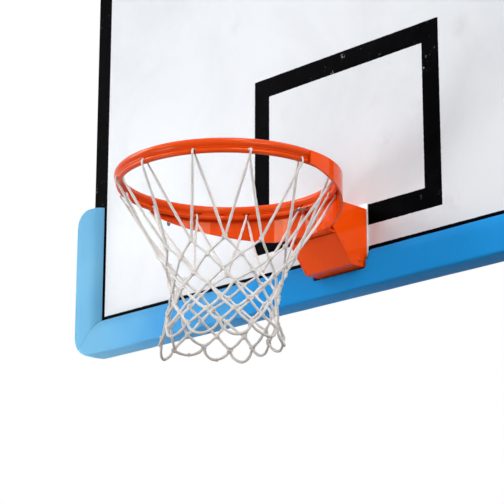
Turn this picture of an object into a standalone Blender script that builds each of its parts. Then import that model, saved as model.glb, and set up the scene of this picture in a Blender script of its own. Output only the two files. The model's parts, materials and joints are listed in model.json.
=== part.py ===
"""Basketball goal: full backboard with edge pads, rear frame, pressure-release ring and net.

Metres, +Z up. The origin is the centre of the rear face of the structure plate, where the goal
is held. The board faces -Y, and the ring stands out in front of it, towards -Y.
"""

import math

import bmesh
import bpy
from mathutils import Vector

# Board panel, frame tubes and rear plates
BOARD_WIDTH = 1.800
BOARD_HEIGHT = 1.050
PANEL_THICKNESS = 0.030
TUBE_WIDTH = 0.030
TUBE_DEPTH = 0.040
TUBE_WALL = 0.002
FRAME_INSET = 0.060
MULLION_SPACING = 0.260
REAR_PLATE_THICKNESS = 0.008
STRUCTURE_PLATE_WIDTH = 0.400
STRUCTURE_PLATE_HEIGHT = 0.300
STRUCTURE_HOLE_SPACING = (0.340, 0.200)
STRUCTURE_HOLE_RADIUS = 0.007
CONTACT_GAP = 0.0003

# Ring, at its regulation place on the board
RING_TOP_HEIGHT = 0.150
RING_INNER_RADIUS = 0.2285
RING_ROD_RADIUS = 0.010
RING_TO_BOARD = 0.151
NET_ROD_RADIUS = 0.006
LOOP_ANGLES = (-0.7, 29.0, 57.4, 86.2, 117.0, 149.0, 181.0, 214.9, 243.1, 271.5, 300.0, 329.0)
NET_LOOPS = len(LOOP_ANGLES)
NOTCH_WIDTH = 0.009
NOTCH_DEPTH = 0.008

# Steel band welded round the outside of the ring's back half
BAND_THICKNESS = 0.0045
BAND_TOP_DROP = 0.006
BAND_END_DROP = 0.035
BAND_FULL_DROP = 0.0885
BAND_RAMP_ANGLE = 68.0
BAND_GAP = 0.0005

# Ring mounting plate, bolted through the board
MOUNT_PLATE_MARGIN = 0.0025
MOUNT_PLATE_HEIGHT = 0.155
MOUNT_PLATE_THICKNESS = 0.004
MOUNT_PLATE_FOOT = -0.004
BOLT_SPACING_Z = 0.090
BOLT_LOW_HEIGHT = 0.030
BOLT_RADIUS = 0.006
BOLT_HOLE_RADIUS = 0.0066
BOLT_HEAD_RADIUS = 0.0095
BOLT_HEAD_HEIGHT = 0.005
BOLT_HEAD_CLEARANCE = 0.004
NUT_HEIGHT = 0.010
NUT_RADIUS = 0.0105
SLEEVE_RADIUS = 0.010
SLEEVE_CLEARANCE = 0.005

# Housing that tilts with the ring
HOUSING_HALF_WIDTH = 0.0725
CHEEK_THICKNESS = 0.004
HOUSING_FOOT = -0.003
HOUSING_HEAD = 0.139
FOOT_DEPTH = 0.054
FRONT_SLOPE = math.radians(49.9)
COVER_THICKNESS = 0.003
COVER_TOP = 0.0600
COVER_REAR_DEPTH = 0.0095
PLATE_THICKNESS = 0.004
ARM_PLATE_HEIGHT = 0.0625
GUSSET_INSET = 0.0045
SLIDE_GAP = 0.0005

# Hinge at the housing's rear foot, and the return springs above it
HINGE_DEPTH = 0.030
HINGE_HEIGHT = 0.012
HINGE_PIN_RADIUS = 0.004
HINGE_HEAD_RADIUS = 0.0052
HINGE_EYE_RADIUS = 0.0085
LUG_THICKNESS = 0.006
LUG_CLEARANCE = 0.0035
TILT_LIMIT = 30.0
SPRING_INSET = 0.013
SPRING_HEIGHT = 0.085
SPRING_ROD_RADIUS = 0.005
SPRING_RADIUS = 0.011
SPRING_WIRE_RADIUS = 0.0019
SPRING_TURNS = 8
WASHER_THICKNESS = 0.003
WASHER_RADIUS = 0.013
SPRING_NUT_HEIGHT = 0.008
ROD_REACH = 0.104
BACK_PLATE_DEPTH = 0.0105
BUFFER_RADIUS = 0.008
BUFFER_HEIGHT = 0.118

# Edge pads round the board's foot
PAD_OUT = 0.050
PAD_FRONT = 0.020
PAD_BACK = 0.020
PAD_LAP = 0.041
PAD_ARM_TOP = 0.350
PAD_CORNER_RADIUS = 0.060
PAD_TOP_RADIUS = 0.045
PAD_EDGE_RADIUS = 0.009
PAD_GAP = 0.0003
CUTOUT_MARGIN = 0.005
CUTOUT_FOOT = -0.008

# Net
CORD_RADIUS = 0.0026
LOOP_CORD_RADIUS = 0.0018
KNOT_RADIUS = 0.0040
NET_ROWS = 7
NET_FIRST_ROW = -0.038
NET_ROW_PITCH = 0.0300
NET_ROW_SHRINK = 0.990
NET_WAIST_HEIGHT = -0.150
NET_WAIST_RADIUS = 0.115
NET_TOP_RADIUS = 0.148
NET_END_RADIUS = 0.130
NET_LOOP_FLARE = 0.004
NET_END_DROP = 0.026
NET_TWIST = -4.4

# Steel wires that tie the net
TIE_WIRE_RADIUS = 0.0020

# Places that follow from the sizes above
BOARD_BACK_Y = -REAR_PLATE_THICKNESS - TUBE_DEPTH - 2 * CONTACT_GAP
FACE_Y = BOARD_BACK_Y - PANEL_THICKNESS
FOOT_Z = -BOARD_HEIGHT / 2
RING_RADIUS = RING_INNER_RADIUS + RING_ROD_RADIUS
RING_OUTER_RADIUS = RING_RADIUS + RING_ROD_RADIUS
RING_Y = FACE_Y - RING_TO_BOARD - RING_INNER_RADIUS
RING_Z = FOOT_Z + RING_TOP_HEIGHT - RING_ROD_RADIUS
NET_ROD_Z = RING_Z - RING_ROD_RADIUS - NET_ROD_RADIUS - CONTACT_GAP
BAND_INNER_RADIUS = RING_OUTER_RADIUS + BAND_GAP
BAND_OUTER_RADIUS = BAND_INNER_RADIUS + BAND_THICKNESS
MOUNT_FACE_DEPTH = CONTACT_GAP + MOUNT_PLATE_THICKNESS
INNER_HALF_WIDTH = HOUSING_HALF_WIDTH - CHEEK_THICKNESS - CONTACT_GAP
GUSSET_X = HOUSING_HALF_WIDTH - CHEEK_THICKNESS - GUSSET_INSET - PLATE_THICKNESS / 2
MOUNT_PLATE_WIDTH = 2 * (HOUSING_HALF_WIDTH + MOUNT_PLATE_MARGIN)
CUTOUT_HALF_WIDTH = MOUNT_PLATE_WIDTH / 2 + CUTOUT_MARGIN
BOLT_X = HOUSING_HALF_WIDTH - CHEEK_THICKNESS - BOLT_HEAD_CLEARANCE - BOLT_HEAD_RADIUS
BOLT_SPACING_X = 2 * BOLT_X
LUG_X = BOLT_X - BOLT_HEAD_RADIUS - LUG_CLEARANCE - LUG_THICKNESS / 2
SPRING_X = LUG_X - SPRING_INSET
HOUSING_BACK_DEPTH = MOUNT_FACE_DEPTH + SLIDE_GAP
CHEEK_X = HOUSING_HALF_WIDTH - CHEEK_THICKNESS / 2
BACK_PLATE_FRONT = BACK_PLATE_DEPTH + PLATE_THICKNESS
TOP_PLATE_UNDERSIDE = HOUSING_HEAD - PLATE_THICKNESS
HINGE_POINT = Vector((0.0, FACE_Y - HINGE_DEPTH, FOOT_Z + HINGE_HEIGHT))

ROUND_SIDES = 16
RING_STEPS = 72
ARCH_POINTS = 6


def y_at(depth):
    """World Y of a place this far in front of the board's face."""
    return FACE_Y - depth


def z_at(height):
    """World Z of a place this far above the board's bottom edge."""
    return FOOT_Z + height


def polar(radius, angle, height=0.0):
    """A point round the ring's axis: angle in degrees from the front, growing towards +X."""
    turn = math.radians(angle)
    return Vector((radius * math.sin(turn), RING_Y - radius * math.cos(turn), height))


def clear_scene():
    for obj in list(bpy.data.objects):
        bpy.data.objects.remove(obj, do_unlink=True)


def make_material(name, colour, roughness, metallic):
    material = bpy.data.materials.new(name)
    material.use_nodes = True
    shader = material.node_tree.nodes["Principled BSDF"]
    shader.inputs["Base Color"].default_value = (*colour, 1.0)
    shader.inputs["Roughness"].default_value = roughness
    shader.inputs["Metallic"].default_value = metallic
    material.diffuse_color = (*colour, 1.0)
    return material


PALETTE = {
    "board_white": ((0.80, 0.80, 0.83), 0.35, 0.0),
    "ring_orange": ((0.80, 0.075, 0.012), 0.28, 0.0),
    "zinc_plate": ((0.72, 0.73, 0.74), 0.35, 0.9),
    "pad_blue": ((0.05, 0.27, 0.62), 0.55, 0.0),
    "net_cord": ((0.72, 0.69, 0.64), 0.85, 0.0),
    "frame_steel": ((0.55, 0.56, 0.57), 0.45, 0.8),
    "bolt_steel": ((0.60, 0.60, 0.61), 0.3, 0.95),
    "spring_steel": ((0.25, 0.25, 0.26), 0.35, 0.9),
    "rubber_black": ((0.02, 0.02, 0.02), 0.8, 0.0),
    "cap_black": ((0.03, 0.03, 0.03), 0.5, 0.0),
}


def make_empty(name, location):
    empty = bpy.data.objects.new(name, None)
    empty.location = location
    bpy.context.scene.collection.objects.link(empty)
    return empty


def add_object(name, bm, finish, parent, location):
    """Turns a bmesh, built about its own origin, into a placed and parented object."""
    bmesh.ops.recalc_face_normals(bm, faces=bm.faces)
    mesh = bpy.data.meshes.new(name)
    bm.to_mesh(mesh)
    bm.free()
    mesh.shade_smooth()
    mesh.set_sharp_from_angle(angle=math.radians(32))
    colour, roughness, metallic = PALETTE[finish]
    mesh.materials.append(make_material(name + "_finish", colour, roughness, metallic))
    obj = bpy.data.objects.new(name, mesh)
    bpy.context.scene.collection.objects.link(obj)
    obj.parent = parent
    obj.location = Vector(location) - parent.location
    return obj


def add_cutter(name, bm, location):
    """A Boolean cutter: an object that is only a guide."""
    bmesh.ops.recalc_face_normals(bm, faces=bm.faces)
    mesh = bpy.data.meshes.new(name)
    bm.to_mesh(mesh)
    bm.free()
    cutter = bpy.data.objects.new(name, mesh)
    cutter.location = location
    cutter.hide_render = True
    cutter.display_type = "WIRE"
    bpy.context.scene.collection.objects.link(cutter)
    return cutter


def cut(obj, cutter):
    modifier = obj.modifiers.new(cutter.name, "BOOLEAN")
    modifier.operation = "DIFFERENCE"
    modifier.solver = "EXACT"
    modifier.object = cutter


def along(axis, first, second, depth):
    """Places two in-plane coordinates and a depth along X, Y or Z."""
    places = {"X": (depth, first, second), "Y": (first, depth, second), "Z": (first, second, depth)}
    return Vector(places[axis])


def circle_points(radius, centre=(0.0, 0.0), sides=ROUND_SIDES, start=0.0):
    angles = [start + 2 * math.pi * i / sides for i in range(sides)]
    return [(centre[0] + radius * math.cos(a), centre[1] + radius * math.sin(a)) for a in angles]


def rounded_rectangle(width, height, radius, steps=3):
    """Corner points of a rectangle about its centre, with round corners."""
    points = []
    for quarter, (sx, sy) in enumerate(((1, 1), (-1, 1), (-1, -1), (1, -1))):
        centre = (sx * (width / 2 - radius), sy * (height / 2 - radius))
        for step in range(steps + 1):
            angle = math.pi / 2 * (quarter + step / steps)
            points.append((centre[0] + radius * math.cos(angle), centre[1] + radius * math.sin(angle)))
    return points


def plate_bmesh(outline, holes, thickness, axis):
    """A flat plate centred on its own plane: an outline with holes, extruded along an axis."""
    bm = bmesh.new()
    edges = []
    for loop in [outline] + list(holes):
        corners = [bm.verts.new(along(axis, a, b, -thickness / 2)) for a, b in loop]
        for first, second in zip(corners, corners[1:] + corners[:1]):
            edges.append(bm.edges.new((first, second)))
    normal = along(axis, 0.0, 0.0, 1.0)
    bmesh.ops.triangle_fill(bm, use_beauty=True, use_dissolve=False, edges=edges, normal=normal)
    extruded = bmesh.ops.extrude_face_region(bm, geom=bm.faces[:])
    moved = [item for item in extruded["geom"] if isinstance(item, bmesh.types.BMVert)]
    bmesh.ops.translate(bm, verts=moved, vec=along(axis, 0.0, 0.0, thickness))
    return bm


def add_plate(name, outline, thickness, axis, finish, parent, location, holes=()):
    return add_object(name, plate_bmesh(outline, holes, thickness, axis), finish, parent, location)


def add_tube(name, length, axis, finish, parent, location):
    """A rectangular frame tube, open at both ends, TUBE_DEPTH along Y."""
    if axis == "X":
        size = (TUBE_DEPTH, TUBE_WIDTH)
    else:
        size = (TUBE_WIDTH, TUBE_DEPTH)
    outer = rounded_rectangle(size[0], size[1], 1.5 * TUBE_WALL, steps=2)
    inner = rounded_rectangle(size[0] - 2 * TUBE_WALL, size[1] - 2 * TUBE_WALL, 0.5 * TUBE_WALL, steps=1)
    return add_plate(name, outer, length, axis, finish, parent, location, holes=(inner,))


def turned_bmesh(profile, axis, sides=ROUND_SIDES):
    """A solid of revolution: the profile is (radius, distance along the axis), closed at both ends."""
    bm = bmesh.new()
    rings = []
    for radius, distance in profile:
        if radius == 0.0:
            rings.append([bm.verts.new(along(axis, 0.0, 0.0, distance))])
        else:
            points = circle_points(radius, sides=sides)
            rings.append([bm.verts.new(along(axis, a, b, distance)) for a, b in points])
    for lower, upper in zip(rings, rings[1:]):
        for i in range(sides):
            j = (i + 1) % sides
            corners = [lower[i % len(lower)], lower[j % len(lower)], upper[j % len(upper)], upper[i % len(upper)]]
            bm.faces.new(list(dict.fromkeys(corners)))
    for ring in (rings[0], rings[-1]):
        if len(ring) > 1:
            bm.faces.new(ring)
    return bm


def add_turned(name, profile, axis, finish, parent, location, sides=ROUND_SIDES):
    return add_object(name, turned_bmesh(profile, axis, sides), finish, parent, location)


def add_hexagon_nut(name, radius, bore, height, axis, finish, parent, location):
    outline = circle_points(radius, sides=6)
    hole = circle_points(bore, sides=12)
    return add_plate(name, outline, height, axis, finish, parent, location, holes=(hole,))


def ring_bmesh(section, steps=RING_STEPS):
    """A closed ring: section points (radial offset, height) swept round at RING_RADIUS."""
    bm = bmesh.new()
    rings = []
    for step in range(steps):
        turn = 2 * math.pi * step / steps
        direction = Vector((math.sin(turn), -math.cos(turn), 0.0))
        rings.append([bm.verts.new(direction * (RING_RADIUS + r) + Vector((0, 0, z))) for r, z in section])
    for first, second in zip(rings, rings[1:] + rings[:1]):
        for i in range(len(section)):
            j = (i + 1) % len(section)
            bm.faces.new((first[i], first[j], second[j], second[i]))
    return bm


def build_board(parent):
    """Panel, rear frame, and the two plates that tie it to the ring and to the structure."""
    middle = Vector((0.0, FACE_Y + PANEL_THICKNESS / 2, 0.0))
    bolts = [circle_points(BOLT_HOLE_RADIUS, (x, z)) for x, z in bolt_places()]
    outline = rounded_rectangle(BOARD_WIDTH, BOARD_HEIGHT, 0.004, steps=2)
    add_plate("board_panel", outline, PANEL_THICKNESS, "Y", "board_white", parent, middle, holes=bolts)

    tube_y = BOARD_BACK_Y + CONTACT_GAP + TUBE_DEPTH / 2
    stile_x = BOARD_WIDTH / 2 - FRAME_INSET - TUBE_WIDTH / 2
    stile_length = BOARD_HEIGHT - 2 * FRAME_INSET
    rail_z = stile_length / 2 - TUBE_WIDTH / 2
    rail_length = 2 * (stile_x - TUBE_WIDTH / 2 - CONTACT_GAP)
    mullion_length = 2 * (rail_z - TUBE_WIDTH / 2 - CONTACT_GAP)
    for side, x in (("left", -stile_x), ("right", stile_x)):
        place = (x, tube_y, 0.0)
        add_tube("frame_stile_" + side, stile_length, "Z", "frame_steel", parent, place)
        for end, z in (("top", stile_length / 2), ("bottom", -stile_length / 2)):
            cap_outline = rounded_rectangle(TUBE_WIDTH, TUBE_DEPTH, 1.5 * TUBE_WALL, steps=2)
            direction = math.copysign(1.0, z)
            cap_z = z + direction * (CONTACT_GAP + COVER_THICKNESS / 2)
            name = "frame_cap_" + end + "_" + side
            add_plate(name, cap_outline, COVER_THICKNESS, "Z", "cap_black", parent, (x, tube_y, cap_z))
    for end, z in (("top", rail_z), ("bottom", -rail_z)):
        add_tube("frame_rail_" + end, rail_length, "X", "frame_steel", parent, (0.0, tube_y, z))
    for side, sign in (("left", -1), ("right", 1)):
        place = (sign * MULLION_SPACING / 2, tube_y, 0.0)
        add_tube("frame_mullion_" + side, mullion_length, "Z", "frame_steel", parent, place)

    plate_y = -REAR_PLATE_THICKNESS / 2
    outline = rounded_rectangle(STRUCTURE_PLATE_WIDTH, STRUCTURE_PLATE_HEIGHT, 0.012)
    half_x, half_z = (spacing / 2 for spacing in STRUCTURE_HOLE_SPACING)
    corners = [(sx * half_x, sz * half_z) for sx in (-1, 1) for sz in (-1, 1)]
    holes = [circle_points(STRUCTURE_HOLE_RADIUS, corner) for corner in corners]
    add_plate(
        "structure_plate", outline, REAR_PLATE_THICKNESS, "Y", "frame_steel", parent, (0, plate_y, 0), holes=holes
    )
    anchor_width = MULLION_SPACING + TUBE_WIDTH
    anchor_z = z_at(BOLT_LOW_HEIGHT + BOLT_SPACING_Z / 2)
    outline = rounded_rectangle(anchor_width, MOUNT_PLATE_HEIGHT, 0.008)
    holes = [circle_points(BOLT_HOLE_RADIUS, (x, z - anchor_z)) for x, z in bolt_places()]
    add_plate(
        "ring_anchor_plate",
        outline,
        REAR_PLATE_THICKNESS,
        "Y",
        "frame_steel",
        parent,
        (0, plate_y, anchor_z),
        holes=holes,
    )


def bolt_places():
    """World X and Z of the four ring bolts."""
    low = z_at(BOLT_LOW_HEIGHT)
    return [(sx * BOLT_SPACING_X / 2, low + row * BOLT_SPACING_Z) for row in (0, 1) for sx in (-1, 1)]


def build_ring_mount(parent):
    """Mounting plate on the board's face, with its bolts, sleeves and nuts."""
    plate_z = z_at(MOUNT_PLATE_FOOT + MOUNT_PLATE_HEIGHT / 2)
    plate_y = y_at(CONTACT_GAP + MOUNT_PLATE_THICKNESS / 2)
    outline = rounded_rectangle(MOUNT_PLATE_WIDTH, MOUNT_PLATE_HEIGHT, 0.003, steps=2)
    holes = [circle_points(BOLT_HOLE_RADIUS, (x, z - plate_z)) for x, z in bolt_places()]
    add_plate(
        "ring_mounting_plate",
        outline,
        MOUNT_PLATE_THICKNESS,
        "Y",
        "zinc_plate",
        parent,
        (0, plate_y, plate_z),
        holes=holes,
    )
    head_y = y_at(MOUNT_FACE_DEPTH + CONTACT_GAP)
    bolt_end = CONTACT_GAP + NUT_HEIGHT + 0.003 - head_y
    sleeve_length = TUBE_DEPTH - 0.0002
    sleeve_y = BOARD_BACK_Y + CONTACT_GAP + TUBE_DEPTH / 2
    bolt_profile = [
        (0.0, -BOLT_HEAD_HEIGHT),
        (0.6 * BOLT_HEAD_RADIUS, -BOLT_HEAD_HEIGHT),
        (0.92 * BOLT_HEAD_RADIUS, -0.65 * BOLT_HEAD_HEIGHT),
        (BOLT_HEAD_RADIUS, -0.15 * BOLT_HEAD_HEIGHT),
        (BOLT_HEAD_RADIUS, 0.0),
        (BOLT_RADIUS, 0.0),
        (BOLT_RADIUS, bolt_end - 0.001),
        (BOLT_RADIUS - 0.001, bolt_end),
        (0.0, bolt_end),
    ]
    for number, (x, z) in enumerate(bolt_places(), start=1):
        add_turned(f"ring_bolt_{number}", bolt_profile, "Y", "bolt_steel", parent, (x, head_y, z))
        sleeve = circle_points(SLEEVE_RADIUS)
        bore = circle_points(BOLT_HOLE_RADIUS)
        name = f"spacer_sleeve_{number}"
        add_plate(name, sleeve, sleeve_length, "Y", "bolt_steel", parent, (x, sleeve_y, z), holes=(bore,))
        nut_y = CONTACT_GAP + NUT_HEIGHT / 2
        name = f"ring_nut_{number}"
        add_hexagon_nut(
            name, NUT_RADIUS, BOLT_HOLE_RADIUS, NUT_HEIGHT, "Y", "bolt_steel", parent, (x, nut_y, z)
        )


def lug_outline():
    """Side view of a hinge lug about the hinge: an eye, and an arm that rises to the mounting plate."""
    plate_reach = HINGE_DEPTH - MOUNT_FACE_DEPTH - CONTACT_GAP
    clearance = HINGE_EYE_RADIUS
    tilt = math.radians(TILT_LIMIT)
    points = []
    for step in range(9):
        angle = -math.pi / 2 + tilt - step * math.pi / 8
        points.append((clearance * math.cos(angle), clearance * math.sin(angle)))
    low = plate_reach * math.tan(tilt) - clearance / math.cos(tilt)
    return points + [(plate_reach, 0.036), (plate_reach, low)]


def build_hinge(parent):
    """Fixed lugs on the mounting plate, and the pin through the lugs and the housing's cheeks."""
    hole = circle_points(HINGE_PIN_RADIUS + CONTACT_GAP, sides=16)
    for side, sign in (("left", -1), ("right", 1)):
        place = HINGE_POINT + Vector((sign * LUG_X, 0.0, 0.0))
        name = "hinge_lug_" + side
        add_plate(name, lug_outline(), LUG_THICKNESS, "X", "zinc_plate", parent, place, holes=(hole,))
    head = HOUSING_HALF_WIDTH + CONTACT_GAP
    head_thickness = 0.002
    tail = head + head_thickness + 0.0015
    pin_profile = [
        (0.0, head + head_thickness),
        (0.6 * HINGE_HEAD_RADIUS, head + head_thickness),
        (HINGE_HEAD_RADIUS, head + 0.5 * head_thickness),
        (HINGE_HEAD_RADIUS, head),
        (HINGE_PIN_RADIUS, head),
        (HINGE_PIN_RADIUS, -tail),
        (0.0, -tail),
    ]
    add_turned("hinge_pin", pin_profile, "X", "ring_orange", parent, HINGE_POINT)
    clip_x = -(head + head_thickness / 2)
    clip_outline = circle_points(0.008)
    clip_hole = circle_points(HINGE_PIN_RADIUS + CONTACT_GAP)
    place = HINGE_POINT + Vector((clip_x, 0.0, 0.0))
    add_plate(
        "hinge_pin_clip", clip_outline, head_thickness, "X", "spring_steel", parent, place, holes=(clip_hole,)
    )


def spring_curve(name, start_depth, end_depth, parent, x):
    """A compression spring along Y, as one unbroken tube with its ends lying flat."""
    points_per_turn = 10
    count = SPRING_TURNS * points_per_turn
    curve = bpy.data.curves.new(name, "CURVE")
    curve.dimensions = "3D"
    spline = curve.splines.new("POLY")
    spline.points.add(count)
    length = end_depth - start_depth - 2 * SPRING_WIRE_RADIUS
    for i, point in enumerate(spline.points):
        share = i / count
        angle = 2 * math.pi * SPRING_TURNS * share
        depth = start_depth + SPRING_WIRE_RADIUS + length * share
        offset = (SPRING_RADIUS * math.cos(angle), -depth, SPRING_RADIUS * math.sin(angle))
        point.co = (*offset, 1.0)
    turn_gap = length / SPRING_TURNS - 2 * SPRING_WIRE_RADIUS
    print(f"{name}: least gap between turns {turn_gap * 1000:.2f} mm")
    curve.bevel_depth = SPRING_WIRE_RADIUS
    curve.bevel_resolution = 1
    curve.use_fill_caps = True
    colour, roughness, metallic = PALETTE["spring_steel"]
    curve.materials.append(make_material(name + "_finish", colour, roughness, metallic))
    obj = bpy.data.objects.new(name, curve)
    bpy.context.scene.collection.objects.link(obj)
    obj.parent = parent
    obj.location = Vector((x, FACE_Y, z_at(SPRING_HEIGHT))) - parent.location
    return obj


def build_springs(parent):
    """Two rods fixed to the mounting plate, each with a spring held by a washer and a nut."""
    foot = MOUNT_FACE_DEPTH + CONTACT_GAP
    nut_front = ROD_REACH - 0.002
    nut_back = nut_front - SPRING_NUT_HEIGHT
    washer_front = nut_back - CONTACT_GAP
    washer_back = washer_front - WASHER_THICKNESS
    spring_start = BACK_PLATE_FRONT + CONTACT_GAP
    bore = SPRING_ROD_RADIUS + CONTACT_GAP
    rod_profile = [
        (0.0, -ROD_REACH),
        (SPRING_ROD_RADIUS - 0.001, -ROD_REACH),
        (SPRING_ROD_RADIUS, -ROD_REACH + 0.001),
        (SPRING_ROD_RADIUS, -foot),
        (0.0, -foot),
    ]
    for side, sign in (("left", -1), ("right", 1)):
        x = sign * SPRING_X
        z = z_at(SPRING_HEIGHT)
        add_turned("spring_rod_" + side, rod_profile, "Y", "bolt_steel", parent, (x, FACE_Y, z))
        spring_curve("return_spring_" + side, spring_start, washer_back - CONTACT_GAP, parent, x)
        washer = circle_points(WASHER_RADIUS)
        hole = circle_points(bore)
        washer_y = y_at((washer_front + washer_back) / 2)
        name = "spring_washer_" + side
        add_plate(name, washer, WASHER_THICKNESS, "Y", "bolt_steel", parent, (x, washer_y, z), holes=(hole,))
        nut_y = y_at((nut_front + nut_back) / 2)
        name = "spring_nut_" + side
        add_hexagon_nut(name, 0.0095, bore, SPRING_NUT_HEIGHT, "Y", "bolt_steel", parent, (x, nut_y, z))
        buffer_back = MOUNT_FACE_DEPTH + CONTACT_GAP
        buffer_front = BACK_PLATE_DEPTH - CONTACT_GAP
        buffer_profile = [
            (0.0, -buffer_front),
            (BUFFER_RADIUS - 0.001, -buffer_front),
            (BUFFER_RADIUS, -buffer_front + 0.001),
            (BUFFER_RADIUS, -buffer_back),
            (0.0, -buffer_back),
        ]
        place = (x, FACE_Y, z_at(BUFFER_HEIGHT))
        add_turned("stop_buffer_" + side, buffer_profile, "Y", "rubber_black", parent, place)


def pad_limit(height, has_top):
    """How far the pad stands out beyond the board's edge at a distance along the arm from the corner."""
    reach = PAD_OUT
    corner = PAD_CORNER_RADIUS - PAD_OUT
    if height < corner:
        below = min(corner - height, PAD_CORNER_RADIUS)
        reach = min(reach, math.sqrt(PAD_CORNER_RADIUS**2 - below**2) - corner)
    if has_top and height > PAD_ARM_TOP - PAD_TOP_RADIUS:
        above = min(height - (PAD_ARM_TOP - PAD_TOP_RADIUS), PAD_TOP_RADIUS)
        reach = min(reach, PAD_OUT - PAD_TOP_RADIUS + math.sqrt(PAD_TOP_RADIUS**2 - above**2))
    return reach


def pad_section():
    """Section of a pad: (distance outside the board's edge, depth in front of the face)."""
    back = -PANEL_THICKNESS
    lap = -PAD_LAP
    soft = PAD_EDGE_RADIUS
    front = PAD_FRONT
    rear = back - PAD_BACK
    points = [(PAD_GAP, PAD_GAP), (lap, PAD_GAP), (lap + 0.004, 0.006), (lap + 0.011, 0.0135)]
    points += [(lap + 0.019, front - 0.0022), (lap + 0.030, front)]
    for step in range(4):
        angle = math.pi / 2 * (1 - step / 3)
        points.append((PAD_OUT - soft + soft * math.cos(angle), front - soft + soft * math.sin(angle)))
    points.append((PAD_OUT + 0.0, (front + rear) / 2))
    for step in range(4):
        angle = -math.pi / 2 * step / 3
        points.append((PAD_OUT - soft + soft * math.cos(angle), rear + soft + soft * math.sin(angle)))
    points += [(lap + 0.020, rear), (lap + 0.006, rear + 0.004), (lap, back - PAD_GAP - 0.004)]
    points += [(lap, back - PAD_GAP), (PAD_GAP, back - PAD_GAP)]
    return points


def pad_bmesh(place, length_at, limit_at, stations):
    """Sweeps the pad's section along the board's edge.

    place(out, along, depth) gives the world point, length_at(out, station) the distance along the
    edge, and limit_at(along) how far out the pad stands there.
    """
    bm = bmesh.new()
    rings = []
    for station in stations:
        ring = []
        for out, depth in pad_section():
            reach = out
            for _ in range(24):
                share = (limit_at(length_at(reach, station)) - PAD_GAP) / (PAD_OUT - PAD_GAP)
                if out > PAD_GAP:
                    reach = (reach + PAD_GAP + (out - PAD_GAP) * max(share, 0.08)) / 2
            ring.append(bm.verts.new(place(reach, length_at(reach, station), depth)))
        rings.append(ring)
    for first, second in zip(rings, rings[1:]):
        for i in range(len(first)):
            j = (i + 1) % len(first)
            bm.faces.new((first[i], first[j], second[j], second[i]))
    for ring in (rings[0], rings[-1]):
        bm.faces.new(ring)
    return bm


def build_pads(parent):
    """Side arms and a bottom pad that meet in mitres, the bottom one cut out round the housing."""
    half_board = BOARD_WIDTH / 2
    mitre_gap = 0.00025
    arm_stations = (0.0, 0.02, 0.05, 0.09, 0.15, 0.30, 0.50, 0.70, 0.87, 0.90, 0.93, 0.96, 0.98, 0.993, 1.0)

    def arm_length(reach, station):
        start = mitre_gap - reach
        return start + (PAD_ARM_TOP - start) * station

    def arm_limit(distance):
        return pad_limit(distance, True)

    for side, sign in (("left", -1), ("right", 1)):

        def arm_place(out, distance, depth, sign=sign):
            return Vector((sign * (half_board + out), y_at(depth), z_at(distance)))

        bm = pad_bmesh(arm_place, arm_length, arm_limit, arm_stations)
        add_object("edge_pad_" + side, bm, "pad_blue", parent, (0, 0, 0))

    half_stations = (0.0, 0.012, 0.03, 0.055, 0.085, 0.12, 0.3, 0.6, 0.88)
    stations = list(half_stations) + [2 - s for s in reversed(half_stations)]

    def bottom_length(reach, station):
        start = mitre_gap - reach
        length = start + (half_board - start) * min(station, 2 - station)
        return length if station <= 1.0 else BOARD_WIDTH - length

    def bottom_limit(distance):
        return pad_limit(min(distance, BOARD_WIDTH - distance), False)

    def bottom_place(out, distance, depth):
        return Vector((distance - half_board, y_at(depth), z_at(-out)))

    bm = pad_bmesh(bottom_place, bottom_length, bottom_limit, stations)
    pad = add_object("edge_pad_bottom", bm, "pad_blue", parent, (0, 0, 0))

    cutter_height = PAD_LAP + 0.02 - CUTOUT_FOOT
    cutter_depth = PAD_FRONT + 0.02 + PAD_GAP
    outline = rounded_rectangle(2 * CUTOUT_HALF_WIDTH, cutter_height, 0.006, steps=2)
    bm = plate_bmesh(outline, (), cutter_depth, "Y")
    centre = (0.0, y_at(cutter_depth / 2 - 2 * PAD_GAP), z_at(CUTOUT_FOOT + cutter_height / 2))
    cut(pad, add_cutter("housing_cutout_guide", bm, centre))
    sleeve_foot = BOLT_LOW_HEIGHT - SLEEVE_RADIUS - SLEEVE_CLEARANCE
    cutter_height = PAD_LAP + 0.02 - sleeve_foot
    half_width = BOLT_SPACING_X / 2 + SLEEVE_RADIUS + SLEEVE_CLEARANCE
    outline = rounded_rectangle(2 * half_width, cutter_height, 0.006, steps=2)
    bm = plate_bmesh(outline, (), cutter_depth, "Y")
    centre = (0.0, BOARD_BACK_Y - 2 * PAD_GAP + cutter_depth / 2, z_at(sleeve_foot + cutter_height / 2))
    cut(pad, add_cutter("sleeve_cutout_guide", bm, centre))


def slope_depth(height):
    """Depth of the housing's sloping front line at a height."""
    return FOOT_DEPTH + (height - HOUSING_FOOT) / math.tan(FRONT_SLOPE)


def band_depth(x, gap=CONTACT_GAP):
    """Depth in front of the board of the band's outer face at this X, less a gap."""
    radius = BAND_OUTER_RADIUS + gap
    return RING_TO_BOARD + RING_INNER_RADIUS - math.sqrt(radius**2 - x**2)


def place_profile(points):
    """Side-view points (depth, height) as Y and Z about the hinge."""
    return [(HINGE_DEPTH - depth, height - HINGE_HEIGHT) for depth, height in points]


def arc_plate_outline(half_width, back_depth):
    """Top view of a plate about the hinge's X: straight back, front edge following the band."""
    steps = 8
    points = [(-half_width, HINGE_DEPTH - back_depth), (half_width, HINGE_DEPTH - back_depth)]
    for step in range(steps + 1):
        x = half_width * (1 - 2 * step / steps)
        points.append((x, HINGE_DEPTH - band_depth(x) - band_chord_gap()))
    return points


def band_chord_gap():
    """How far a band facet's middle lies inside the true circle."""
    return -BAND_OUTER_RADIUS * (1 - math.cos(math.pi / RING_STEPS))


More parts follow.
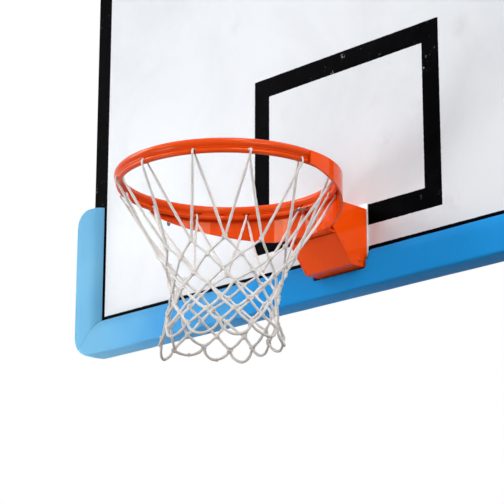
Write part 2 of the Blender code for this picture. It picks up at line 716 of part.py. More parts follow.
def build_housing(parent):
    """The plates that carry the ring and tilt with it about the hinge."""
    pin_hole = circle_points(HINGE_PIN_RADIUS + CONTACT_GAP)
    front_depth = band_depth(HOUSING_HALF_WIDTH - CHEEK_THICKNESS)
    cheek = place_profile(
        [
            (HOUSING_BACK_DEPTH + 0.0055, HOUSING_FOOT),
            (FOOT_DEPTH, HOUSING_FOOT),
            (front_depth, HOUSING_FOOT + (front_depth - FOOT_DEPTH) * math.tan(FRONT_SLOPE)),
            (front_depth, HOUSING_HEAD),
            (HOUSING_BACK_DEPTH, HOUSING_HEAD),
            (HOUSING_BACK_DEPTH, HINGE_HEIGHT),
        ]
    )
    screw_depth = slope_depth(0.046) - 0.0115
    screw_hole = circle_points(0.0022, place_profile([(screw_depth, 0.046)])[0], sides=10)
    for side, sign in (("left", -1), ("right", 1)):
        place = HINGE_POINT + Vector((sign * CHEEK_X, 0.0, 0.0))
        holes = (pin_hole, screw_hole)
        name = "housing_cheek_" + side
        add_plate(name, cheek, CHEEK_THICKNESS, "X", "ring_orange", parent, place, holes=holes)
        outside = HOUSING_HALF_WIDTH + CONTACT_GAP
        screw = [
            (0.0, outside + 0.0016),
            (0.0018, outside + 0.0014),
            (0.0034, outside + 0.0004),
            (0.0034, outside),
            (0.0019, outside),
            (0.0019, outside - CHEEK_THICKNESS - 0.001),
            (0.0, outside - CHEEK_THICKNESS - 0.001),
        ]
        profile = [(r, sign * x) for r, x in screw]
        place = Vector((0.0, y_at(screw_depth), z_at(0.046)))
        add_turned("cover_screw_" + side, profile, "X", "ring_orange", parent, place, sides=10)

    inner = INNER_HALF_WIDTH
    top_outline = arc_plate_outline(inner, HOUSING_BACK_DEPTH)
    place = HINGE_POINT + Vector((0.0, 0.0, HOUSING_HEAD - PLATE_THICKNESS / 2 - HINGE_HEIGHT))
    add_plate("housing_top_plate", top_outline, PLATE_THICKNESS, "Z", "ring_orange", parent, place)

    cover_inset = 0.0006
    top_depth = slope_depth(COVER_TOP) - cover_inset
    foot_front = slope_depth(HOUSING_FOOT) - cover_inset
    foot = HOUSING_FOOT + cover_inset
    normal = (math.sin(FRONT_SLOPE) * COVER_THICKNESS, math.cos(FRONT_SLOPE) * COVER_THICKNESS)
    inside_corner = foot_front - COVER_THICKNESS * math.tan((math.pi / 2 - FRONT_SLOPE / 2) / 2 + 0.05)
    cover = [
        (COVER_REAR_DEPTH, foot),
        (foot_front, foot),
        (top_depth, COVER_TOP),
        (top_depth - normal[0], COVER_TOP + normal[1]),
        (inside_corner, foot + COVER_THICKNESS),
        (COVER_REAR_DEPTH, foot + COVER_THICKNESS),
    ]
    cover_width = 2 * inner
    add_plate("housing_lower_cover", place_profile(cover), cover_width, "X", "ring_orange", parent, HINGE_POINT)

    back_low = 0.045
    back_high = TOP_PLATE_UNDERSIDE - CONTACT_GAP
    back_z = (back_low + back_high) / 2
    outline = rounded_rectangle(cover_width, back_high - back_low, 0.004, steps=1)
    slot_height = 0.024
    slot_centre = SPRING_HEIGHT + 0.0015 - back_z
    slots = []
    for sign in (-1, 1):
        slot = rounded_rectangle(2 * SPRING_ROD_RADIUS + 0.0022, slot_height, SPRING_ROD_RADIUS, steps=3)
        slots.append([(a + sign * SPRING_X, b + slot_centre) for a, b in slot])
    place = (0.0, y_at(BACK_PLATE_DEPTH + PLATE_THICKNESS / 2), z_at(back_z))
    add_plate("housing_back_plate", outline, PLATE_THICKNESS, "Y", "ring_orange", parent, place, holes=slots)

    arm_rear = 0.093
    arm_outline = arc_plate_outline(inner, arm_rear)
    place = HINGE_POINT + Vector((0.0, 0.0, ARM_PLATE_HEIGHT + PLATE_THICKNESS / 2 - HINGE_HEIGHT))
    add_plate("arm_bottom_plate", arm_outline, PLATE_THICKNESS, "Z", "ring_orange", parent, place)

    gusset_low = ARM_PLATE_HEIGHT + PLATE_THICKNESS + CONTACT_GAP
    gusset_high = TOP_PLATE_UNDERSIDE - CONTACT_GAP
    gusset_front = band_depth(GUSSET_X - PLATE_THICKNESS / 2)
    gusset_back = BACK_PLATE_FRONT + CONTACT_GAP
    gusset = place_profile(
        [
            (gusset_back, gusset_low + 0.012),
            (0.070, gusset_low),
            (gusset_front, gusset_low),
            (gusset_front, gusset_high),
            (gusset_back, gusset_high),
        ]
    )
    for side, sign in (("left", -1), ("right", 1)):
        place = HINGE_POINT + Vector((sign * GUSSET_X, 0.0, 0.0))
        add_plate("arm_gusset_" + side, gusset, PLATE_THICKNESS, "X", "ring_orange", parent, place)


def band_drop(angle):
    """How far below the ring's top the band's lower edge lies, at an angle from the front."""
    from_end = 90.0 - abs(180.0 - angle)
    share = min(from_end / BAND_RAMP_ANGLE, 1.0)
    return BAND_END_DROP + (BAND_FULL_DROP - BAND_END_DROP) * share


def build_ring(parent):
    """Main rod, notched net rod beneath it, and the band round the back half."""
    ring_place = (0.0, RING_Y, RING_Z)
    section = circle_points(RING_ROD_RADIUS, sides=12)
    add_object("ring_rod", ring_bmesh(section), "ring_orange", parent, ring_place)

    section = circle_points(NET_ROD_RADIUS, sides=8, start=math.pi / 8)
    rod = add_object("net_rod", ring_bmesh(section), "ring_orange", parent, (0.0, RING_Y, NET_ROD_Z))
    notches = bmesh.new()
    for loop in range(NET_LOOPS):
        turn = math.radians(LOOP_ANGLES[loop])
        outward = Vector((math.sin(turn), -math.cos(turn), 0.0))
        sideways = Vector((math.cos(turn), math.sin(turn), 0.0))
        corners = []
        floor = NET_ROD_RADIUS - NOTCH_DEPTH
        for z in (floor, NET_ROD_RADIUS + 0.002):
            for r, s in ((-1, -1), (1, -1), (1, 1), (-1, 1)):
                across = outward * (RING_RADIUS + r * 1.5 * NET_ROD_RADIUS)
                corners.append(notches.verts.new(across + sideways * (s * NOTCH_WIDTH / 2) + Vector((0, 0, z))))
        low, high = corners[:4], corners[4:]
        notches.faces.new(low)
        notches.faces.new(high)
        for i in range(4):
            j = (i + 1) % 4
            notches.faces.new((low[i], low[j], high[j], high[i]))
    cut(rod, add_cutter("net_notch_guide", notches, (0.0, RING_Y, NET_ROD_Z)))

    bm = bmesh.new()
    steps = RING_STEPS // 2
    rings = []
    for step in range(steps + 1):
        angle = 90.0 + 180.0 * step / steps
        top = z_at(RING_TOP_HEIGHT - BAND_TOP_DROP)
        low = z_at(RING_TOP_HEIGHT - band_drop(angle))
        corners = [(BAND_INNER_RADIUS, low), (BAND_OUTER_RADIUS, low)]
        corners += [(BAND_OUTER_RADIUS, top), (BAND_INNER_RADIUS, top)]
        rings.append([bm.verts.new(polar(r, angle, z)) for r, z in corners])
    for first, second in zip(rings, rings[1:]):
        for i in range(4):
            j = (i + 1) % 4
            bm.faces.new((first[i], first[j], second[j], second[i]))
    for ring in (rings[0], rings[-1]):
        bm.faces.new(ring)
    bmesh.ops.translate(bm, verts=bm.verts, vec=-HINGE_POINT)
    add_object("wrap_band", bm, "ring_orange", parent, HINGE_POINT)


def net_row_height(row):
    """Height of a row of knots above the board's foot: rows get closer towards the bottom."""
    drop = NET_ROW_PITCH * (1 - NET_ROW_SHRINK ** (row - 1)) / (1 - NET_ROW_SHRINK)
    return NET_FIRST_ROW - drop


def net_radius(height):
    """Radius of the hanging net: it narrows to a waist and flares again at its open end."""
    if height > NET_WAIST_HEIGHT:
        share = (height - NET_WAIST_HEIGHT) / (NET_FIRST_ROW - NET_WAIST_HEIGHT)
        return NET_WAIST_RADIUS + (NET_TOP_RADIUS - NET_WAIST_RADIUS) * share**2
    share = (NET_WAIST_HEIGHT - height) / (NET_WAIST_HEIGHT - net_row_height(NET_ROWS))
    return NET_WAIST_RADIUS + (NET_END_RADIUS - NET_WAIST_RADIUS) * min(share, 1.0) ** 1.5


def net_outward(angle):
    turn = math.radians(angle)
    return Vector((math.sin(turn), -math.cos(turn), 0.0))


def net_sideways(angle):
    turn = math.radians(angle)
    return Vector((math.cos(turn), math.sin(turn), 0.0))


class NetGraph:
    """Cord centres of the net, and the gaps between the cords as loops of points."""

    def __init__(self):
        self.points = {}
        self.gaps = []

    def add(self, key, centre, normal, radius):
        self.points[key] = (centre, normal.normalized(), radius)

    def knot(self, row, slot):
        """Key of a knot: odd rows lie between the loops, even rows under them."""
        return ("knot", row, slot % NET_LOOPS)


def knot_angle(row, slot):
    """Angle of a knot from the front: the hanging net twists slightly towards its open end."""
    step = 360.0 / NET_LOOPS
    return step * (slot + 0.5 * (row % 2)) + NET_TWIST * (row - 1) / (NET_ROWS - 1)


def add_net_points(net):
    """Knots, the arches over the net rod, the long legs and the round ends."""
    for row in range(1, NET_ROWS + 1):
        height = net_row_height(row)
        for slot in range(NET_LOOPS):
            angle = knot_angle(row, slot)
            centre = polar(net_radius(height), angle, z_at(height))
            net.add(net.knot(row, slot), centre, net_outward(angle), KNOT_RADIUS)
    foot_radius = NET_ROD_RADIUS + LOOP_CORD_RADIUS + 0.0005
    half_arch = [(foot_radius, -0.005), (0.9 * foot_radius, 0.0), (0.45 * foot_radius, 0.003)]
    arch = [(-r, z) for r, z in half_arch] + list(reversed(half_arch))
    for slot in range(NET_LOOPS):
        angle = LOOP_ANGLES[slot]
        sideways = net_sideways(angle)
        for i, (r, z) in enumerate(arch):
            centre = polar(RING_RADIUS + r, angle, NET_ROD_Z + z)
            net.add(("arch", slot, i), centre, sideways, LOOP_CORD_RADIUS)
        for leg, knot_slot, foot in (("right", slot, 0), ("left", slot - 1, ARCH_POINTS - 1)):
            top = net.points[("arch", slot, foot)][0]
            bottom = net.points[net.knot(1, knot_slot)][0]
            knot_normal = net.points[net.knot(1, knot_slot)][1]
            for i, share in enumerate((0.12, 0.5)):
                centre = top.lerp(bottom, share)
                normal = sideways.lerp(knot_normal, min(1.0, 0.35 + share))
                net.add((leg, slot, i), centre, normal, CORD_RADIUS)
    end_height = net_row_height(NET_ROWS)
    for slot in range(NET_LOOPS):
        for i in range(5):
            share = (i + 1) / 6
            angle = knot_angle(NET_ROWS, slot) + 360.0 / NET_LOOPS * share
            sag = math.sin(math.pi * share) ** 0.6
            radius = NET_END_RADIUS + NET_LOOP_FLARE * sag
            centre = polar(radius, angle, z_at(end_height - NET_END_DROP * sag))
            net.add(("end", slot, i), centre, net_outward(angle), CORD_RADIUS)


def add_net_gaps(net):
    """Every gap of the net as a loop of keys, anticlockwise from outside; the two open ends too."""
    for slot in range(NET_LOOPS):
        right = [("right", slot, 1), ("right", slot, 0)]
        arch = [("arch", slot, i) for i in range(ARCH_POINTS)]
        left = [("left", slot, 0), ("left", slot, 1)]
        gap = [net.knot(2, slot), net.knot(1, slot)] + right + arch + left + [net.knot(1, slot - 1)]
        net.gaps.append(gap)
    for row in range(1, NET_ROWS - 1):
        for slot in range(NET_LOOPS):
            right = slot + row % 2
            left = right - 1
            gap = [net.knot(row + 2, slot), net.knot(row + 1, right), net.knot(row, slot), net.knot(row + 1, left)]
            net.gaps.append(gap)
    for slot in range(NET_LOOPS):
        bottom = [("end", slot, i) for i in range(5)]
        above = net.knot(NET_ROWS - 1, slot + NET_ROWS % 2)
        gap = bottom + [net.knot(NET_ROWS, slot + 1), above, net.knot(NET_ROWS, slot)]
        net.gaps.append(gap)
    top_edge = []
    for slot in range(NET_LOOPS):
        top_edge += [("left", slot, 1), ("left", slot, 0)]
        top_edge += [("arch", slot, i) for i in reversed(range(ARCH_POINTS))]
        top_edge += [("right", slot, 0), ("right", slot, 1), net.knot(1, slot)]
    net.gaps.append(top_edge)
    bottom_edge = []
    for slot in reversed(range(NET_LOOPS)):
        bottom_edge.append(net.knot(NET_ROWS, slot + 1))
        bottom_edge += [("end", slot, i) for i in reversed(range(5))]
    net.gaps.append(bottom_edge)


def net_corner(before, point, after, normal, radius):
    """Offset from a cord's centre towards the gap on the left of the loop, half a cord wide."""
    first = (point - before).normalized()
    second = (after - point).normalized()
    left_first = normal.cross(first).normalized()
    left_second = normal.cross(second).normalized()
    mitre = (left_first + left_second).normalized()
    spread = max(mitre.dot(left_first), 0.45)
    return mitre * (0.87 * radius / spread)


def build_net(parent):
    """One closed lattice: every cord has a six-sided section, and cords join at the knots."""
    net = NetGraph()
    add_net_points(net)
    add_net_gaps(net)
    bm = bmesh.new()
    crest = {}
    for key, (centre, normal, radius) in net.points.items():
        crest[key] = (bm.verts.new(centre + normal * radius), bm.verts.new(centre - normal * radius))
    for gap in net.gaps:
        rims = []
        count = len(gap)
        for i, key in enumerate(gap):
            centre, normal, radius = net.points[key]
            before = net.points[gap[i - 1]][0]
            after = net.points[gap[(i + 1) % count]][0]
            cord = min(radius, CORD_RADIUS)
            offset = net_corner(before, centre, after, normal, cord)
            lift = normal * (0.5 * cord)
            rims.append((bm.verts.new(centre + offset + lift), bm.verts.new(centre + offset - lift)))
        for i, key in enumerate(gap):
            j = (i + 1) % count
            other = gap[j]
            bm.faces.new((crest[key][0], crest[other][0], rims[j][0], rims[i][0]))
            bm.faces.new((rims[i][0], rims[j][0], rims[j][1], rims[i][1]))
            bm.faces.new((rims[i][1], rims[j][1], crest[other][1], crest[key][1]))
    bmesh.ops.translate(bm, verts=bm.verts, vec=-HINGE_POINT)
    return add_object("net", bm, "net_cord", parent, HINGE_POINT)


def build_tie_wires(parent):
    """The steel tie wire across a loop on the net rod's inner side, and the hook behind the band."""
    rod_half = NET_ROD_RADIUS * math.cos(math.pi / 8)
    rod_sag = RING_RADIUS * (1 - math.cos(math.pi / RING_STEPS))
    beside_rod = RING_RADIUS - rod_half - rod_sag - CONTACT_GAP - TIE_WIRE_RADIUS
    foot_radius = NET_ROD_RADIUS + LOOP_CORD_RADIUS + 0.0005
    beside_loop = RING_RADIUS - foot_radius - LOOP_CORD_RADIUS - 2 * CONTACT_GAP - TIE_WIRE_RADIUS
    loop_angle = LOOP_ANGLES[NET_LOOPS // 2]
    places = ((-7.5, beside_rod), (-2.6, beside_rod), (-1.0, beside_loop), (1.0, beside_loop))
    places += ((2.6, beside_rod), (4.0, beside_rod))
    wire = [polar(radius, loop_angle + turn, NET_ROD_Z - 0.002) for turn, radius in places]
    hook_angle = 258.0
    low = z_at(RING_TOP_HEIGHT - band_drop(hook_angle))
    hook_radius = BAND_OUTER_RADIUS * math.cos(math.pi / RING_STEPS) + CONTACT_GAP + TIE_WIRE_RADIUS
    hook_places = ((0.0, 0.018), (0.0, 0.0), (0.0004, -0.0032), (-0.0010, -0.0064), (-0.0042, -0.0078))
    hook_places += ((-0.0074, -0.0064), (-0.0082, -0.0036))
    hook = [polar(hook_radius + r, hook_angle, low + z) for r, z in hook_places]
    for name, points in (("net_tie_wire", wire), ("net_tie_hook", hook)):
        curve = bpy.data.curves.new(name, "CURVE")
        curve.dimensions = "3D"
        spline = curve.splines.new("POLY")
        spline.points.add(len(points) - 1)
        for target, source in zip(spline.points, points):
            target.co = (*(source - HINGE_POINT), 1.0)
        curve.bevel_depth = TIE_WIRE_RADIUS
        curve.bevel_resolution = 1
        curve.use_fill_caps = True
        colour, roughness, metallic = PALETTE["spring_steel"]
        curve.materials.append(make_material(name + "_finish", colour, roughness, metallic))
        obj = bpy.data.objects.new(name, curve)
        bpy.context.scene.collection.objects.link(obj)
        obj.parent = parent


def main():
    clear_scene()
    fixed = make_empty("backboard_body", (0.0, 0.0, 0.0))
    moving = make_empty("ring_pivot", HINGE_POINT)
    build_board(fixed)
    build_ring_mount(fixed)
    build_hinge(fixed)
    build_springs(fixed)
    build_pads(fixed)
    build_ring(moving)
    build_housing(moving)
    build_net(moving)
    build_tie_wires(moving)


main()
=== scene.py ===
import json
import math
import random

import bpy
import numpy as np
from mathutils import Matrix, Vector, noise


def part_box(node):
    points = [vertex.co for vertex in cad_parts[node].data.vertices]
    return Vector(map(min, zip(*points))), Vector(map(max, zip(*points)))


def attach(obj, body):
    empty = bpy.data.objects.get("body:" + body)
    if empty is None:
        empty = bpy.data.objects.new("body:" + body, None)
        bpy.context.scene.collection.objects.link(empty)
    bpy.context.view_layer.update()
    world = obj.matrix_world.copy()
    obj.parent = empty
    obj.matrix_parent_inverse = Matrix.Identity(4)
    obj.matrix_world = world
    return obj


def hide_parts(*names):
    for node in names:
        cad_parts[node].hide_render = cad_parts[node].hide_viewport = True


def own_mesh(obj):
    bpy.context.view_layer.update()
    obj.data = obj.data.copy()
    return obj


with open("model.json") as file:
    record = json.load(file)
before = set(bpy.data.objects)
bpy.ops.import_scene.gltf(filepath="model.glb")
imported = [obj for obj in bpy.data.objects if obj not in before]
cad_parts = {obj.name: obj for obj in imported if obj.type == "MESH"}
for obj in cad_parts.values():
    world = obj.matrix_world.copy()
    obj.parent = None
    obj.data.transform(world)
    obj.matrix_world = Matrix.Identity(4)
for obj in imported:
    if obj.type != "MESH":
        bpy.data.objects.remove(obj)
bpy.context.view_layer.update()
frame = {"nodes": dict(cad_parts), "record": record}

NODES = frame["nodes"]

# Sizes and places that match the CAD, in metres
BOARD_WIDTH = 1.800
BOARD_HEIGHT = 1.050
PANEL_THICKNESS = 0.030
FACE_Y = -0.0786
FOOT_Z = -BOARD_HEIGHT / 2
RING_INNER_RADIUS = 0.2285
RING_RADIUS = 0.2385
ROD_RADIUS = 0.010
NET_ROD_RADIUS = 0.006
RING_TO_BOARD = 0.151
RING_Y = FACE_Y - RING_TO_BOARD - RING_INNER_RADIUS
RING_Z = FOOT_Z + 0.140
NET_ROD_Z = RING_Z - 0.0163
BAND_GAP = 0.0005
BAND_THICKNESS = 0.0045
HOUSING_HALF_WIDTH = 0.0725
HOUSING_HEAD = 0.139
ARM_PLATE_HEIGHT = 0.0625
# Where the net's loops hang, in degrees from the front
LOOP_ANGLES = (-0.7, 29.0, 57.4, 86.2, 117.0, 149.0, 181.0, 214.9, 243.1, 271.5, 300.0, 329.0)
NET_LOOPS = len(LOOP_ANGLES)

# The game's own heights and lines
GROUND_Z = FOOT_Z - 2.900
LINE_WIDTH = 0.050
TARGET_WIDTH = 0.590
TARGET_HEIGHT = 0.450
TARGET_MIDDLE = 0.325

RNG = random.Random(7128)


def y_at(depth):
    """World Y of a place this far in front of the board's face."""
    return FACE_Y - depth


def z_at(height):
    """World Z of a place this far above the board's bottom edge."""
    return FOOT_Z + height


def polar(radius, angle, height):
    """A point round the ring's axis: angle in degrees from the front, growing towards +X."""
    turn = math.radians(angle)
    return Vector((radius * math.sin(turn), RING_Y - radius * math.cos(turn), height))


# ---- materials ----


def feed(tree, socket, value):
    """Links a socket to the input, or sets the input to a plain value."""
    if isinstance(value, bpy.types.NodeSocket):
        tree.links.new(value, socket)
    else:
        socket.default_value = value


def add_node(tree, kind, *in_order, **by_name):
    """A new shader node, its inputs fed in order or by name."""
    node = tree.nodes.new("ShaderNode" + kind)
    for socket, value in zip(node.inputs, in_order):
        feed(tree, socket, value)
    for name, value in by_name.items():
        feed(tree, node.inputs[name.replace("_", " ")], value)
    return node


class Paint:
    """Builds one procedural material with short calls."""

    def __init__(self, name):
        self.material = bpy.data.materials.new(name)
        self.material.use_nodes = True
        self.tree = self.material.node_tree
        self.surface = self.tree.nodes["Principled BSDF"]
        coordinates = self.add("TexCoord")
        self.place = coordinates.outputs["Object"]
        self.facing = coordinates.outputs["Normal"]
        self.uv = coordinates.outputs["UV"]

    def add(self, kind, *in_order, **by_name):
        return add_node(self.tree, kind, *in_order, **by_name)

    def parts(self, vector):
        node = self.add("SeparateXYZ", vector)
        return node.outputs[0], node.outputs[1], node.outputs[2]

    def math(self, operation, first, second=0.0):
        node = self.add("Math", first, second)
        node.operation = operation
        return node.outputs[0]

    def scaled(self, factors):
        """The object's place, stretched by a factor on each axis."""
        node = self.add("VectorMath", self.place, factors)
        node.operation = "MULTIPLY"
        return node.outputs[0]

    def noise(self, scale, detail=3.0, roughness=0.5, vector=None, distortion=0.0):
        vector = self.place if vector is None else vector
        values = {"Scale": scale, "Detail": detail, "Roughness": roughness}
        node = self.add("TexNoise", Vector=vector, Distortion=distortion, **values)
        return node.outputs["Fac"]

    def spots(self, scale):
        return self.add("TexVoronoi", Vector=self.place, Scale=scale).outputs["Distance"]

    def ramp(self, value, low, high, to_low=0.0, to_high=1.0):
        ends = {"From_Min": low, "From_Max": high, "To_Min": to_low, "To_Max": to_high}
        return self.add("MapRange", Value=value, **ends).outputs["Result"]

    def patches(self, fine, fine_ends, coarse, coarse_ends):
        """Small marks that gather in some places."""
        marks = self.ramp(self.noise(*fine), *fine_ends)
        where = self.ramp(self.noise(*coarse), *coarse_ends)
        return self.math("MULTIPLY", marks, where)

    def mix(self, share, first, second):
        node = self.add("Mix", share)
        node.data_type = "RGBA"
        colours = [socket for socket in node.inputs if socket.type == "RGBA"]
        for socket, colour in zip(colours, (first, second)):
            colour = (*colour, 1.0) if isinstance(colour, tuple) else colour
            feed(self.tree, socket, colour)
        return [socket for socket in node.outputs if socket.type == "RGBA"][0]

    def bump(self, height, strength, distance, under=None):
        node = self.add("Bump", Strength=strength, Distance=distance, Height=height)
        if under is not None:
            feed(self.tree, node.inputs["Normal"], under)
        return node.outputs["Normal"]

    def finish(self, colour, roughness, normal=None, **levels):
        values = {"Base_Color": colour, "Roughness": roughness, **levels}
        if normal is not None:
            values["Normal"] = normal
        for name, value in values.items():
            feed(self.tree, self.surface.inputs[name.replace("_", " ")], value)
        return self.material


def board_paint():
    """White lacquer with black lines, faint ball marks, bare plywood behind and ply edges."""
    paint = Paint("board_lacquer")
    x, y, z = paint.parts(paint.place)
    _, facing_y, _ = paint.parts(paint.facing)
    width = paint.math("ABSOLUTE", x)
    height = paint.math("ABSOLUTE", z)
    from_middle = paint.math("ABSOLUTE", paint.math("SUBTRACT", z, z_at(TARGET_MIDDLE)))

    def box_distance(up, box_width, box_height, inset):
        """How far outside a box a place lies. The box is inset on every side."""
        beside = paint.math("SUBTRACT", width, box_width / 2 - inset)
        above = paint.math("SUBTRACT", up, box_height / 2 - inset)
        return paint.math("MAXIMUM", beside, above)

    border = box_distance(height, BOARD_WIDTH, BOARD_HEIGHT, LINE_WIDTH)
    outside = box_distance(from_middle, TARGET_WIDTH, TARGET_HEIGHT, 0.0)
    inside = box_distance(from_middle, TARGET_WIDTH, TARGET_HEIGHT, LINE_WIDTH)
    target = paint.math("MINIMUM", paint.math("MULTIPLY", outside, -1.0), inside)
    edge_width = 0.0004
    ragged = paint.ramp(paint.noise(140.0, 2.0), 0.3, 0.7, -edge_width, edge_width)
    line = paint.math("ADD", paint.math("MAXIMUM", border, target), ragged)
    line = paint.ramp(line, -edge_width, edge_width)
    chips = paint.patches((42.0, 8.0, 0.72), (0.63, 0.70), (5.0, 3.0), (0.50, 0.66))
    hairlines = paint.noise(9.0, 6.0, 0.8, vector=paint.scaled((9.0, 1.0, 0.8)))
    chips = paint.math("MAXIMUM", chips, paint.ramp(hairlines, 0.70, 0.74, 0.0, 0.4))
    left_over = paint.math("SUBTRACT", 1.0, paint.math("MULTIPLY", chips, 0.45))
    line = paint.math("MULTIPLY", line, left_over)

    smudge = paint.ramp(paint.noise(2.6, 7.0, 0.62, distortion=0.6), 0.42, 0.75)
    white = paint.mix(smudge, (0.695, 0.718, 0.745), (0.615, 0.638, 0.668))
    marks = paint.math(
        "MULTIPLY",
        paint.ramp(paint.spots(6.5), 0.10, 0.26, 0.30, 0.0),
        paint.ramp(paint.noise(30.0, 6.0, 0.7), 0.40, 0.62),
    )
    white = paint.mix(marks, white, (0.50, 0.50, 0.52))
    streaks = paint.noise(3.0, 5.0, 0.65, vector=paint.scaled((7.0, 1.0, 0.7)))
    white = paint.mix(paint.ramp(streaks, 0.60, 0.82, 0.0, 0.28), white, (0.62, 0.63, 0.66))
    dust = paint.ramp(paint.noise(14.0, 6.0, 0.7), 0.45, 0.75)
    black = paint.mix(dust, (0.0010, 0.0010, 0.0014), (0.0028, 0.0028, 0.0034))
    front = paint.mix(line, white, black)

    grain = paint.noise(5.0, 7.0, 0.62, vector=paint.scaled((0.5, 1.0, 11.0)), distortion=0.5)
    wood = paint.mix(paint.ramp(grain, 0.35, 0.66), (0.47, 0.34, 0.21), (0.62, 0.49, 0.33))
    ply_pair = 0.0054
    plies = paint.math("SINE", paint.math("MULTIPLY", y, 2 * math.pi / ply_pair))
    edge = paint.mix(paint.ramp(plies, -0.6, 0.6), (0.30, 0.20, 0.12), (0.60, 0.46, 0.30))
    dull = paint.ramp(paint.noise(60.0, 3.0), 0.35, 0.65, 0.0, 0.4)
    edge = paint.mix(dull, edge, (0.44, 0.34, 0.23))
    rear = paint.ramp(facing_y, 0.4, 0.6)
    not_front = paint.ramp(facing_y, -0.6, -0.4)
    colour = paint.mix(not_front, front, paint.mix(rear, edge, wood))

    gloss = paint.ramp(paint.noise(18.0, 5.0, 0.6), 0.35, 0.70, 0.20, 0.34)
    roughness = paint.math("ADD", gloss, paint.math("MULTIPLY", not_front, 0.30))
    peel = paint.bump(paint.noise(170.0, 2.0), 0.10, 0.0006)
    relief = paint.bump(paint.math("MULTIPLY", grain, not_front), 0.25, 0.0012, under=peel)
    return paint.finish(colour, roughness, relief, Specular_IOR_Level=0.004)


def orange_coat():
    """Glossy powder coat with faint orange peel and a few rubbed spots, darker on the bars as painted
    shade.
    """
    paint = Paint("orange_coat")
    x, y, _ = paint.parts(paint.place)
    from_axis = paint.math("SUBTRACT", y, RING_Y)
    squares = [paint.math("MULTIPLY", part, part) for part in (x, from_axis)]
    radius = paint.math("SQRT", paint.math("ADD", *squares))
    bars_end = RING_RADIUS + ROD_RADIUS
    # Painted shade: the round bars, inside this radius, get a darker copy of the coat than the plates.
    shaded_bars_mask = paint.ramp(radius, bars_end, bars_end + BAND_GAP, 1.0, 0.0)
    cloud = paint.ramp(paint.noise(11.0, 5.0, 0.6), 0.35, 0.70)
    plates = paint.mix(cloud, (0.950, 0.080, 0.0030), (0.890, 0.066, 0.0025))
    bars = paint.mix(cloud, (0.815, 0.068, 0.0030), (0.735, 0.056, 0.0025))
    colour = paint.mix(shaded_bars_mask, plates, bars)
    rubbed = paint.patches((70.0, 8.0, 0.75), (0.62, 0.70), (9.0, 2.0), (0.52, 0.66))
    colour = paint.mix(paint.math("MULTIPLY", rubbed, 0.40), colour, (0.36, 0.030, 0.004))
    roughness = paint.ramp(paint.noise(45.0, 6.0, 0.65), 0.30, 0.72, 0.06, 0.14)
    peel = paint.bump(paint.noise(420.0, 2.0), 0.05, 0.0003)
    waves = paint.bump(paint.noise(30.0, 1.0), 0.06, 0.0010, under=peel)
    warm = (1.0, 0.78, 0.48, 1.0)
    return paint.finish(colour, roughness, waves, Specular_IOR_Level=0.20, Specular_Tint=warm)


def plated_steel(name, low, high, rough_low, rough_high, metallic):
    """Zinc plate: cloudy spangle, fine scratches."""
    paint = Paint(name)
    cloud = paint.ramp(paint.noise(55.0, 4.0, 0.6), 0.35, 0.68)
    colour = paint.mix(cloud, low, high)
    scratches = paint.noise(40.0, 6.0, 0.75, vector=paint.scaled((1.0, 8.0, 3.0)))
    roughness = paint.ramp(scratches, 0.35, 0.70, rough_low, rough_high)
    relief = paint.bump(scratches, 0.10, 0.0003)
    return paint.finish(colour, roughness, relief, Metallic=metallic)


def frame_coat():
    """Grey powder coat of the rear frame, with its fine texture and some dust."""
    paint = Paint("frame_coat")
    dust = paint.ramp(paint.noise(8.0, 6.0, 0.65), 0.40, 0.72)
    colour = paint.mix(dust, (0.36, 0.37, 0.385), (0.46, 0.465, 0.465))
    grain = paint.noise(600.0, 2.0)
    relief = paint.bump(grain, 0.25, 0.0004)
    return paint.finish(colour, paint.ramp(grain, 0.3, 0.7, 0.40, 0.55), relief)


def pad_skin():
    """Soft blue moulded skin: fine grain, slow colour change, painted sheen that pales it towards the
    left end, pale scuffs.
    """
    paint = Paint("pad_skin")
    x, _, _ = paint.parts(paint.place)
    cloud = paint.ramp(paint.noise(4.0, 5.0, 0.55), 0.35, 0.70)
    deep = paint.mix(cloud, (0.0125, 0.262, 0.650), (0.0105, 0.236, 0.600))
    # Painted sheen: a paler blue takes over towards the left end of the pads, blended by the place
    # across the board.
    painted_sheen_blue = paint.mix(cloud, (0.155, 0.400, 0.605), (0.125, 0.358, 0.560))
    side = paint.math("ADD", x, paint.ramp(paint.noise(3.0, 4.0, 0.6), 0.3, 0.7, -0.12, 0.12))
    colour = paint.mix(paint.ramp(side, -0.90, -0.25, 1.0, 0.0), deep, painted_sheen_blue)
    scuffs = paint.patches((36.0, 8.0, 0.74), (0.60, 0.70), (5.0, 2.0), (0.50, 0.64))
    colour = paint.mix(paint.math("MULTIPLY", scuffs, 0.25), colour, (0.06, 0.30, 0.60))
    grain = paint.noise(950.0, 3.0, 0.6)
    fine = paint.bump(grain, 0.30, 0.0005)
    dents = paint.bump(paint.noise(16.0, 3.0, 0.5), 0.16, 0.003, under=fine)
    roughness = paint.ramp(paint.noise(60.0, 5.0, 0.6), 0.3, 0.7, 0.34, 0.46)
    return paint.finish(colour, roughness, dents, Specular_IOR_Level=0.02)


